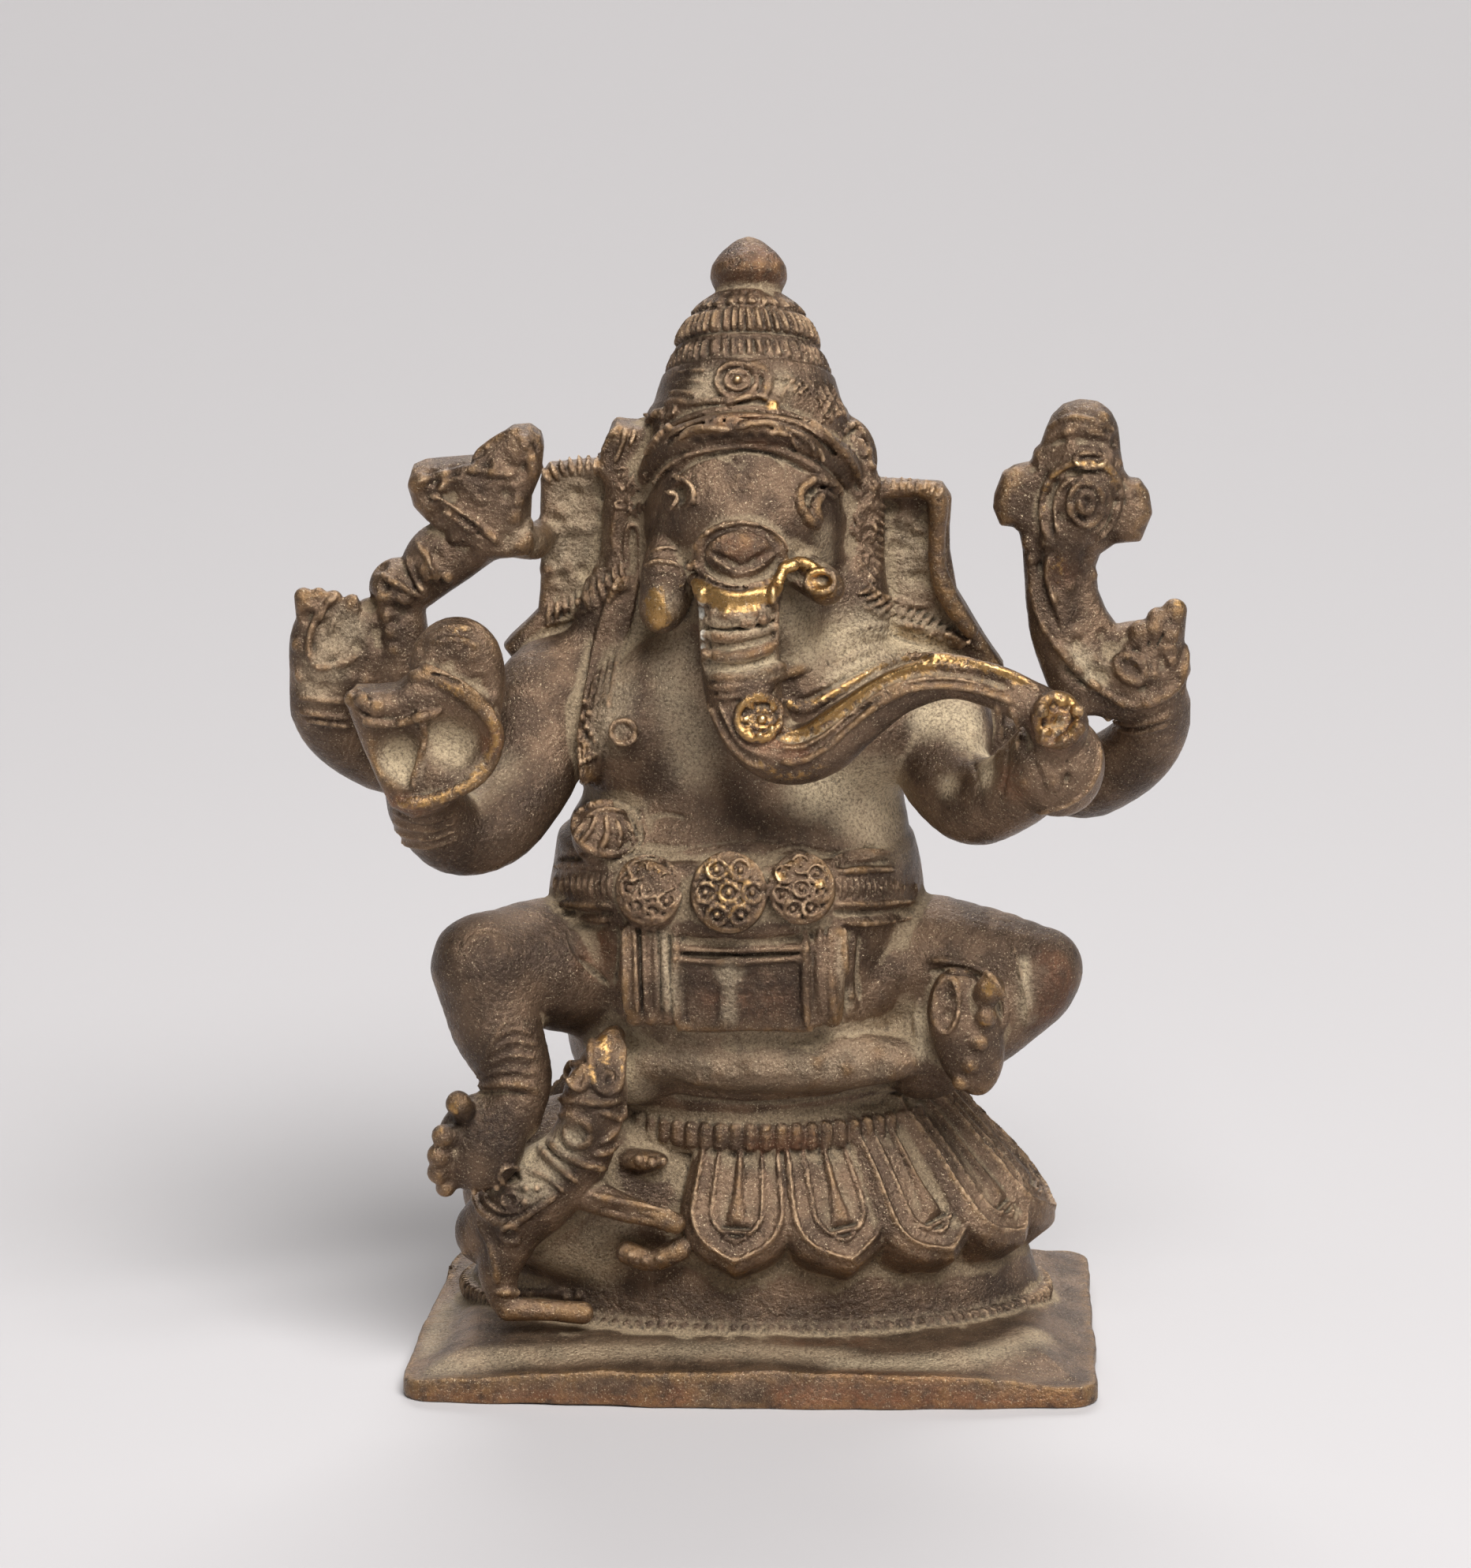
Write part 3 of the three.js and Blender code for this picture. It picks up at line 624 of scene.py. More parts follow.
def head():
    """The head with its trunk, the disc between the tusks and the tusks."""
    wax.add(ball((-0.6, -0.4, 60), (7.2, 7.4, 7.6)), 0.8)
    wax.add(ball((-0.6, -3.6, 61.8), (6.4, 4.8, 5.2)), 1.2)
    wax.add(ball((-0.5, -3.9, 64.9), (5.5, 3.0, 3.4)), 1.6)
    wax.add(ball((-0.3, -1.8, 54.6), (6.1, 5.6, 4.8)), 1.2)
    wax.add(limb(TRUNK), 0.8)
    wax.add(ball((-0.7, -9.2, 60), (3.2, 1.7, 2.3), (18, 0, 0)), 0.5)
    # The left tusk, and the start of the right one
    wax.add(seen_limb([
        (-6.0, 19.8, -4.8, 1.5), (-6.3, 18.0, -5.8, 1.75), (-6.4, 16.4, -6.4, 1.7),
        (-6.6, 15.4, -6.8, 1.55), (-6.7, 14.9, -7.0, 1.25),
    ]), 0.3)
    wax.add(limb([(2.8, -6.4, 58.5, 1.45), (5.1, -8.2, 57.4, 1.3)]), 0.3)
    # The locks between the head and the ears
    wax.add(ball((-8.6, 0.6, 60.5), (2.2, 1.3, 6.0), (0, 4, 0)), 1.6)
    wax.add(ball((-9.8, 0.2, 52.5), (2.8, 2.0, 4.6), (0, 6, 0)), 2.0)
    wax.add(ball((7.0, 0.4, 60.5), (2.0, 1.9, 5.5), (0, -4, 0)), 1.6)
    wax.add(ball((6.0, -0.6, 54.0), (3.4, 3.0, 4.0)), 2.0)


def ears():
    """The spread ears as upright slabs of x and z, with leaf-like tips above them."""
    left = [
        (-7.6, 63.6), (-9.4, 64), (-14.6, 63.6), (-15.2, 62.6), (-15.1, 56.2), (-15.4, 53), (-17.8, 50.4),
        (-16, 48), (-8, 48),
    ]
    right = [
        (6.4, 63.4), (8.8, 62.6), (13, 62.3), (13.7, 61.4), (13.6, 57.6), (14.1, 54.6), (15.6, 52),
        (17.4, 49.2), (15, 47.6), (6.4, 48),
    ]
    wax.add(slab(left, 1.4, 2.4, 0.6), 0.5)
    wax.add(slab(right, 1.4, 2.4, 0.6), 0.5)
    leaf = [
        (-11.4, 25.6), (-10.7, 26.8), (-10.1, 28.4), (-9.8, 28.7), (-8.2, 28.5), (-7.4, 28.4),
        (-7.2, 23.0), (-9.4, 22.6),
    ]
    wax.add(seen_slab(leaf, 1.6, -0.4, 3.4, 0.8), 0.4)
    wax.add(ball((6.9, 2.6, 64.6), (1.5, 1.1, 2.4), (0, -18, 0)), 0.4)
    # The rolled outer edge of the right ear, and the hollow of each shell
    wax.add(seen_limb([
        (8.8, 23.7, 0.4, 0.6), (11.0, 23.7, 0.2, 0.6), (12.7, 23.3, 0.2, 0.8), (12.8, 21.0, 0.4, 0.65),
        (12.8, 18.6, 0.4, 0.6), (13.6, 16.2, 0.4, 0.7), (15.2, 13.8, 0.4, 0.6),
    ]), 0.3)
    wax.cut(ball(seen(10.8, 19.8, -0.9), (1.6, 1.5, 3.6)), 0.6)
    wax.cut(ball(seen(-12.4, 20.4, -1.3), (1.9, 1.7, 4.0)), 0.6)


# Height over the crown's foot and radius
CROWN_PROFILE = [
    (0, 7.2), (1.6, 7.2), (3.4, 7.0), (4.1, 6.6), (5.1, 6.35), (6.0, 6.05), (6.25, 5.95), (7.35, 5.5),
    (7.5, 5.15), (7.75, 5.35), (8.0, 4.95), (8.2, 5.25), (8.8, 5.1), (9.6, 4.6), (10.0, 4.2), (10.1, 3.9),
    (10.25, 4.1), (10.8, 3.6), (11.4, 2.8), (11.75, 2.3), (12.2, 2.45), (12.8, 2.7), (13.4, 2.68),
    (13.8, 2.55), (14.6, 2.0), (15.2, 1.3), (15.6, 0.75), (15.75, 0.4),
]


def crown():
    """The tall crown in ribbed tiers, with a smooth bud on top, and the diadem's band below it."""
    # Lowest and highest place of a row of ribs, their count and how far they stand out
    RIB_ROWS = [(8.1, 9.95, 46, 0.75), (6.3, 7.45, 50, 0.6), (10.2, 11.35, 28, 0.4)]
    TIER_TILT = 0.34
    lean = math.radians(CROWN["lean"])
    rows = curve(CROWN_PROFILE, 3)
    rows[:, 0] = np.maximum.accumulate(rows[:, 0])
    top = CROWN_PROFILE[-1][0]

    def distance(x, y, z):
        dx, dy, dz = x - CROWN["x"], y - CROWN["y"], z - CROWN["z"]
        back = dy * math.cos(lean) - dz * math.sin(lean)
        height = dy * math.sin(lean) + dz * math.cos(lean)
        up = height + TIER_TILT * back * ramp(height, 1.5, 6.0) * ramp(-height, -15.6, -13.0)
        radius = np.interp(up, rows[:, 0], rows[:, 1]).astype(np.float32)
        turn = np.arctan2(dx, -back)
        turn = turn + 0.02 * np.sin(7 * turn) + 0.02 * np.sin(11 * turn + 2)
        for low, high, count, relief in RIB_ROWS:
            rib = np.abs(np.sin(turn * count / 2 + 0.5 * (up - low)))
            uneven = 0.75 + 0.25 * np.sin(5 * turn + high) * np.sin(13 * turn)
            foot = low + 0.25 * (1 - rib)
            radius = (
                radius - relief * uneven * (1 - rib)
                * ramp(up, low - 0.1, low + 0.2) * ramp(-up, -high - 0.1, -high + 0.2)
            )
            radius = radius - 0.25 * ramp(foot - up, 0.0, 0.25) * ramp(up, low - 0.5, low - 0.3)
        side = np.sqrt(dx * dx + (back / 0.94) ** 2) - radius
        ends = np.maximum(-height, height - top)
        return smooth_max(0.85 * side, ends, 0.5)

    reach = CROWN_PROFILE[0][1] + 0.6
    low = (CROWN["x"] - reach, CROWN["y"] - reach, CROWN["z"] - 0.5)
    high = (CROWN["x"] + reach, CROWN["y"] + reach + 2.5, CROWN["z"] + top + 0.3)
    wax.add((distance, np.array(low), np.array(high)), 0.5)
    BAND_STATIONS = 9
    BAND_DEGREES = 170
    BAND_REACH = 7
    BAND_RISE = 5.6
    band = []
    for i in range(BAND_STATIONS):
        angle = math.radians((i / (BAND_STATIONS - 1) - 0.5) * BAND_DEGREES)
        across, ahead = math.sin(angle), math.cos(angle)
        band.append((-0.4 + BAND_REACH * across, 0.6 - BAND_REACH * ahead, 62.6 + BAND_RISE * ahead, 1.1))
    wax.add(limb(band), 0.4)


def mouse():
    """The mouse that climbs the drum: body and head, hind leg and foot, fore leg, paw, ear and saddle."""
    wax.add(limb([
        (-18.6, -6.4, 9.8, 2.5), (-16, -7.8, 12.6, 3.1), (-13, -8.4, 15.4, 2.6), (-11.6, -8.8, 18, 2.2),
        (-11, -8.9, 20.6, 2.2), (-10.5, -8.4, 23, 1.5), (-9.7, -7.8, 24.7, 0.8),
    ]), 0.4)
    wax.add(limb([(-16.4, -8.4, 11.4, 2.1), (-17.8, -8.6, 8, 1.5), (-17.6, -8.8, 5.6, 1)]), 0.3)
    wax.add(limb([(-17.2, -9, 4.9, 0.9), (-14.4, -8.9, 4.8, 0.8), (-12, -8.8, 4.6, 0.8)]), 0.3)
    wax.add(limb([(-12.4, -8.8, 13.8, 1.4), (-9.4, -9.2, 12.7, 1.0), (-5.4, -9.4, 11.5, 0.8)]), 0.3)
    wax.add(limb([(-8.8, -8.2, 8.9, 0.9), (-7, -8.6, 8.5, 0.9), (-5.2, -8.6, 9.3, 0.9)]), 0.3)
    wax.add(ball((-12, -10.2, 21.9), (0.9, 0.7, 1.2)), 0.3)
    wax.add(ball((-7.6, -6.8, 15.3), (1.7, 1.1, 0.8)), 0.8)


# Threads and grooves on the surface, drawn along lines of sight


def sight_rays(path):
    """The eye, and the directions of the lines of sight through a path of (a, b)."""
    path = np.asarray(path, dtype=float)
    through = TARGET + path[:, :1] * RIGHT + path[:, 1:2] * UP
    origin = TARGET + CAMERA_DISTANCE * BACK
    directions = through - origin
    return origin, directions / np.linalg.norm(directions, axis=1, keepdims=True)


def touch(path):
    """Where the lines of sight through a path of (a, b) first meet the wax, and the normals there."""
    DEPTH = 26.0
    HALVINGS = 7
    origin, directions = sight_rays(path)
    step = CELL * 0.8
    distances = np.arange(CAMERA_DISTANCE - DEPTH, CAMERA_DISTANCE + DEPTH, step)
    found = np.full(len(directions), np.nan)
    for distance in distances:
        open_rays = np.isnan(found)
        if not open_rays.any():
            break
        points = origin + distance * directions[open_rays]
        index = np.rint((points - wax.low) / CELL).astype(int)
        inside_grid = ((index >= 0) & (index < np.array(wax.shape))).all(axis=1)
        values = np.full(len(points), FAR)
        index = index[inside_grid]
        values[inside_grid] = wax.d[index[:, 0], index[:, 1], index[:, 2]]
        hits = np.flatnonzero(open_rays)[values < 0]
        found[hits] = distance
    kept = ~np.isnan(found)
    directions, found = directions[kept], found[kept]
    near, far = found - 2 * step, found + 0.01
    for _ in range(HALVINGS):
        middle = (near + far) / 2
        outside = wax.sample(origin + middle[:, None] * directions) > 0
        near = np.where(outside, middle, near)
        far = np.where(outside, far, middle)
    points = origin + far[:, None] * directions
    return points, wax.normals(points, CELL), kept


def resample(path, spacing):
    """Evenly spaced points along a path."""
    path = np.asarray(path, dtype=float)
    lengths = np.linalg.norm(np.diff(path[:, :2], axis=0), axis=1)
    along = np.concatenate([[0], np.cumsum(lengths)])
    count = max(2, int(along[-1] / spacing) + 1)
    places = np.linspace(0, along[-1], count)
    return np.stack([np.interp(places, along, path[:, i]) for i in range(path.shape[1])], axis=1)


def beads_field(points, radii):
    """Distances to many balls in the window that holds them."""
    reach = radii.max() + 3 * CELL
    slices, axes = wax.window(points.min(axis=0) - reach, points.max(axis=0) + reach)
    field = np.full([len(axis.ravel()) for axis in axes], FAR, dtype=np.float32)
    origin = np.array([axis.ravel()[0] for axis in axes])
    for point, radius in zip(points, radii):
        span = radius + 2.5 * CELL
        first = np.maximum(((point - span - origin) / CELL).astype(int), 0)
        last = ((point + span - origin) / CELL).astype(int) + 2
        box = tuple(slice(a, b) for a, b in zip(first, last))
        x, y, z = axes[0][box[0]], axes[1][:, box[1]], axes[2][:, :, box[2]]
        gap = np.sqrt((x - point[0]) ** 2 + (y - point[1]) ** 2 + (z - point[2]) ** 2) - radius
        field[box] = np.minimum(field[box], gap)
    return slices, field


def lay_balls(points, normals, heights, radii, blend, sunk):
    """Adds balls of wax that stand up from the surface by their heights, or cuts them as deep into it."""
    if not len(points):
        return
    side = -1 if sunk else 1
    slices, field = beads_field(points + side * normals * (heights - radii)[:, None], radii)
    if sunk:
        wax.d[slices] = smooth_max(wax.d[slices], -field, blend)
    else:
        wax.d[slices] = smooth_min(wax.d[slices], field, blend)


def draw(paths, radius, height, blend, sunk):
    """Balls of wax along paths of (a, b), smaller towards their ends."""
    tapered = []
    for path in paths:
        fine = resample(curve(path, CURVE_STEPS), max(CELL, 0.5 * radius))
        ends = np.minimum(np.arange(len(fine)), np.arange(len(fine))[::-1])
        taper = np.clip(0.55 + 0.15 * ends, 0, 1)
        tapered.append(np.column_stack([fine, taper]))
    stations = np.vstack(tapered)
    points, normals, kept = touch(stations[:, :2])
    taper = stations[kept, 2]
    lay_balls(points, normals, height * BOLDNESS * taper, radius * taper, blend, sunk)


def set_balls(places, radius, height, blend, sunk):
    """Balls of wax at single places of (a, b)."""
    points, normals, _ = touch(places)
    radii = np.full(len(points), float(radius))
    lay_balls(points, normals, height * BOLDNESS, radii, blend, sunk)


def threads(paths, radius, height, blend=0.15):
    """Raised lines of a radius that stand up by a height."""
    draw(paths, radius, height, blend, sunk=False)


def grooves(paths, radius, depth):
    """Lines of a radius, cut in by a depth."""
    BLEND = 0.12
    draw(paths, radius, depth, BLEND, sunk=True)


def lumps(places, radius, height, blend=0.15):
    """Round lumps of a radius that stand up by a height."""
    set_balls(places, radius, height, blend, sunk=False)


def dents(places, radius, depth, blend=0.2):
    """Round hollows of a radius, cut in by a depth."""
    set_balls(places, radius, depth, blend, sunk=True)


def ring(centre, across, up=None, turn=0.0, points=17):
    """A closed oval path."""
    up = across if up is None else up
    turn = math.radians(turn)
    path = []
    for i in range(points):
        angle = 2 * math.pi * i / (points - 1)
        x, y = across * math.cos(angle), up * math.sin(angle)
        path.append((
            centre[0] + x * math.cos(turn) - y * math.sin(turn),
            centre[1] + x * math.sin(turn) + y * math.cos(turn),
        ))
    return path


def rungs(first, second, count):
    """Straight strokes between two rails."""
    rails = [curve(rail, RAIL_STEPS) for rail in (first, second)]
    paths = []
    for share in np.linspace(0, 1, count):
        ends = []
        for rail in rails:
            along = np.linspace(0, 1, len(rail))
            ends.append(np.array([
                np.interp(share, along, rail[:, 0]), np.interp(share, along, rail[:, 1]),
            ]))
        paths.append(ends)
    return paths


wax.add(plate(), 0.2)
pedestal()
petals()
torso()
legs()
girdle()
arms()
emblems()
head()
ears()
crown()
mouse()


def box_blur(values, reach):
    """Each value becomes the mean of its neighbours within reach cells, along each axis in turn."""
    for axis in range(3):
        total = np.cumsum(values, axis=axis, dtype=np.float32)
        length = values.shape[axis]
        upper = np.minimum(np.arange(length) + reach, length - 1)
        lower = np.arange(length) - reach - 1
        top = np.take(total, upper, axis=axis)
        bottom = np.take(total, np.maximum(lower, 0), axis=axis)
        shape = [1, 1, 1]
        shape[axis] = -1
        bottom *= (lower >= 0).reshape(shape)
        values = (top - bottom) / (2 * reach + 1)
    return values


def inside_outline(outline, places):
    """Which places lie inside a closed outline."""
    return outline_distance(outline, places[:, 0], places[:, 1]) < 0


def curls(outline, spacing, size):
    """Small curls of thread strewn over the area inside an outline."""
    corners = np.array(outline)
    low, high = corners.min(axis=0), corners.max(axis=0)
    across, up = np.meshgrid(np.arange(low[0], high[0], spacing), np.arange(low[1], high[1], spacing))
    places = np.stack([across.ravel(), up.ravel()], axis=1)
    places += chance.uniform(-0.3, 0.3, places.shape) * spacing
    paths = []
    for place in places[inside_outline(outline, places)]:
        start = chance.uniform(0, 2 * math.pi)
        sweep = chance.uniform(3.2, 5.0)
        reach = size * chance.uniform(0.8, 1.25)
        turn = start + np.linspace(0, sweep, 6)
        grow = np.linspace(0.7, 1.1, 6) * reach
        paths.append(np.stack([place[0] + grow * np.cos(turn), place[1] + grow * np.sin(turn)], axis=1))
    threads(paths, 0.19, 0.26, 0.1)


def gnarled(outline, count, radius=0.55, height=0.16):
    """Uneven knobs and pits strewn over the area inside an outline."""
    corners = np.array(outline)
    places = chance.uniform(corners.min(axis=0), corners.max(axis=0), (count * 3, 2))
    places = places[inside_outline(outline, places)][:count]
    half = len(places) // 2
    lumps(places[:half], radius, height, 0.3)
    dents(places[half:], radius, height, 0.3)


def arcs_along(path, count, size, radius, height, lean=0.0):
    """Short strokes set across a path, as in a milled edge. size is half a stroke's length."""
    fine = curve(path, RAIL_STEPS)
    spaced = resample(fine, np.linalg.norm(np.diff(fine, axis=0), axis=1).sum() / count)
    slope = np.gradient(spaced, axis=0)
    slope /= np.linalg.norm(slope, axis=1, keepdims=True)
    normal = np.stack([-slope[:, 1], slope[:, 0]], axis=1)
    reach = size * (normal + lean * slope)
    threads([[tuple(p - r), tuple(p + r)] for p, r in zip(spaced, reach)], radius, height, 0.08)


def crown_lines():
    # Jewel with its rings and the lobe beside it
    lumps([(-1.35, 31.5)], 1.5, 0.3, 0.3)
    threads([ring((-1.35, 31.5), 1.4, 1.15, points=21)], 0.24, 0.3)
    threads([ring((-1.3, 31.5), 0.8, 0.62, points=17)], 0.17, 0.22)
    lumps([(-1.3, 31.55)], 0.3, 0.34)
    threads([[(-0.6, 32.6), (0.2, 32.4), (0.8, 31.8), (0.8, 31.0), (0.6, 30.4)]], 0.4, 0.3)
    lumps([(1.2, 29.65)], 0.5, 0.4)
    # Grooved panels either side of the jewel
    threads([
        [(-6.0, 31.2), (-4.8, 31.5), (-3.2, 31.3)], [(-6.2, 30.6), (-5.2, 30.7), (-4.0, 30.4)],
        [(-5.9, 32.0), (-4.6, 32.2), (-3.4, 32.2)], [(-6.4, 29.9), (-5.6, 30.1), (-4.6, 29.8)],
    ], 0.2, 0.2)
    threads([[(1.3, 31.8), (2.0, 31.7), (2.7, 31.5)], [(1.4, 30.3), (2.2, 30.7), (2.8, 31.3)]], 0.18, 0.18)
    threads(rungs([(2.2, 31.9), (5.2, 31.4)], [(3.4, 29.9), (6.4, 28.6)], 7), 0.15, 0.2)
    threads(rungs([(3.0, 31.9), (5.6, 30.6)], [(1.9, 30.6), (4.6, 28.8)], 7), 0.15, 0.2)
    curls([(2.6, 29.4), (6.0, 29.0), (7.5, 27.9), (8.6, 25.6), (7.2, 25.6), (5.0, 28.0)], 0.8, 0.3)
    curls([(-7.6, 29.2), (-6.6, 29.8), (-5.2, 29.2), (-7.2, 27.2), (-8.6, 26.2), (-9.2, 27.4)], 0.8, 0.3)
    threads([[(-6.5, 29.4), (-7.3, 29.0), (-7.9, 28.2)]], 0.28, 0.25)
    dents([(-1.35, 39.7), (-0.2, 40.2), (0.9, 38.6)], 0.8, 0.07, 0.3)


def diadem_lines():
    # Thin upper edge, the thick wavy roll and the bands that run down to the ears
    threads([[
        (-4.8, 29.9), (-3.4, 30.1), (-1.8, 30.1), (-0.6, 30.4), (0.4, 30.45), (0.9, 30.1),
    ]], 0.22, 0.26)
    threads([[
        (-7.9, 26.0), (-7.2, 27.0), (-6.2, 28.0), (-5.0, 28.7), (-3.8, 29.1), (-2.4, 29.35), (-0.8, 29.5),
        (0.6, 29.4), (2.2, 29.1), (4.0, 28.4), (5.5, 27.1), (6.6, 25.8), (7.2, 24.6),
    ]], 0.28, 0.32)
    grooves([[
        (-6.4, 27.2), (-5.2, 28.0), (-3.8, 28.55), (-2.2, 28.75), (-0.4, 28.85), (1.4, 28.8), (3.2, 28.2),
        (4.8, 27.1), (6.0, 25.8),
    ]], 0.22, 0.36)
    threads([
        [(-5.4, 27.3), (-4.4, 28.0), (-3.0, 28.1), (-1.8, 28.0)],
        [(-1.5, 28.1), (-0.4, 28.4), (0.8, 28.45), (1.9, 28.2)], [(0.6, 27.7), (1.5, 27.9), (2.4, 27.6)],
        [(2.4, 28.0), (3.6, 27.3), (4.8, 26.2)],
    ], 0.26, 0.34)
    dents([(-4.2, 27.2), (-3.2, 27.3), (-2.0, 27.4), (-0.4, 27.5), (0.4, 27.5)], 0.42, 0.2)
    # Hairline over the forehead, in two ridges
    threads([[
        (-7.2, 24.2), (-6.3, 25.2), (-5.0, 26.1), (-3.7, 26.6), (-2.2, 26.85), (-0.6, 26.9), (0.9, 26.75),
        (2.4, 26.2), (3.7, 25.5), (5.0, 24.6), (6.0, 23.4),
    ]], 0.28, 0.34)
    grooves([[
        (-6.2, 24.5), (-4.9, 25.5), (-3.4, 26.15), (-1.5, 26.45), (-0.4, 26.5), (1.0, 26.3), (2.4, 25.7),
        (3.7, 24.9), (4.9, 24.0),
    ]], 0.16, 0.2)
    # Slanted teeth below the right half of the diadem
    threads(rungs([
        (2.4, 27.6), (4.0, 26.9), (5.5, 25.7), (6.6, 24.2),
    ], [(3.1, 26.5), (4.5, 25.8), (5.8, 24.6), (6.8, 23.2)], 10), 0.2, 0.28)
    # The cap's point in the middle of the forehead
    grooves([
        [(-2.8, 26.2), (-1.9, 25.9), (-1.2, 25.3), (-0.8, 24.9)],
        [(1.1, 26.2), (1.9, 25.6), (2.15, 24.9), (2.1, 24.2)],
    ], 0.18, 0.14)
    dents([(-0.95, 25.6)], 0.5, 0.14)


def face_lines():
    threads([ring((-0.68, 24.45), 0.66, 0.5)], 0.2, 0.13)
    # Eyes: two crescents each, with the slit between them
    dents([(-5.55, 23.7), (-5.5, 23.2)], 0.5, 0.4)
    dents([(4.0, 23.75), (4.8, 23.8), (3.6, 23.1), (3.65, 22.4)], 0.45, 0.4)
    threads([
        [(-5.9, 24.7), (-5.0, 24.5), (-4.4, 23.9), (-4.35, 23.1), (-4.8, 22.6)],
        [(-6.5, 23.7), (-5.8, 23.45), (-5.6, 22.9), (-6.0, 22.2)],
        [(5.6, 24.2), (4.6, 24.6), (3.6, 24.3), (3.0, 23.5), (3.1, 22.5), (3.6, 21.7), (4.4, 21.2)],
        [(5.4, 23.2), (4.7, 23.4), (4.2, 22.9), (4.2, 22.2), (4.5, 21.6)],
    ], 0.3, 0.4)
    grooves([
        [(5.5, 23.9), (5.9, 23.0), (6.0, 22.2)], [(-7.0, 22.6), (-7.3, 21.3), (-7.7, 20.3)],
    ], 0.18, 0.12)
    threads([[(-4.5, 22.75), (-3.6, 23.0), (-2.7, 23.3)]], 0.16, 0.08)
    # The disc between the tusks, with its diamond
    threads([ring((-1.05, 19.2), 3.25, 2.15, points=33)], 0.24, 0.26)
    grooves([ring((-1.05, 19.25), 2.8, 1.85, points=33)], 0.26, 0.26)
    lumps([(-0.9, 19.3), (-1.9, 19.3), (0.2, 19.4), (-0.9, 20.0), (-0.9, 18.8)], 1.0, 0.12, 0.4)
    grooves([
        [(-3.1, 19.35), (-2.0, 18.75), (-1.0, 18.2)], [(-1.0, 18.2), (0.2, 18.9), (1.4, 19.55)],
    ], 0.24, 0.24)
    threads([
        [(-3.1, 18.95), (-2.0, 18.3), (-0.9, 17.85)], [(-0.9, 17.85), (0.4, 18.45), (1.5, 19.15)],
    ], 0.2, 0.2)
    grooves([
        [(-2.7, 19.7), (-1.9, 20.4), (-1.0, 20.9)], [(-1.0, 20.9), (0.4, 20.4), (1.3, 19.8)],
    ], 0.15, 0.1)
    # The thick lower rim, running on to the right tusk
    threads([[
        (-4.6, 18.6), (-4.2, 17.5), (-3.2, 16.8), (-1.9, 16.3), (-0.5, 16.35), (0.7, 16.7), (1.4, 17.4),
        (2.0, 18.3), (3.0, 18.6), (4.1, 18.3),
    ]], 0.48, 0.5)
    threads([[(-4.3, 17.2), (-3.6, 16.3), (-2.2, 15.7), (-0.6, 15.7), (0.7, 16.1), (1.6, 16.9)]], 0.6, 0.45)
    # Left tusk with its sleeve
    threads([
        [(-7.8, 18.4), (-6.8, 18.75), (-5.6, 18.5), (-5.1, 17.8), (-5.2, 17.0)],
        [(-7.4, 19.4), (-6.2, 19.7), (-5.1, 19.4)],
    ], 0.24, 0.22)
    grooves([[(-7.7, 17.5), (-6.6, 17.7), (-5.6, 17.4)], [(-5.6, 16.8), (-6.0, 15.9)]], 0.2, 0.16)
    # Right tusk: a bar with a hollow, gold-rimmed end
    dents([(4.7, 17.45)], 0.7, 0.4)
    threads([ring((4.6, 17.3), 0.95, 0.72)], 0.26, 0.3)
    dents([(2.7, 17.7), (3.2, 17.4)], 0.5, 0.3)


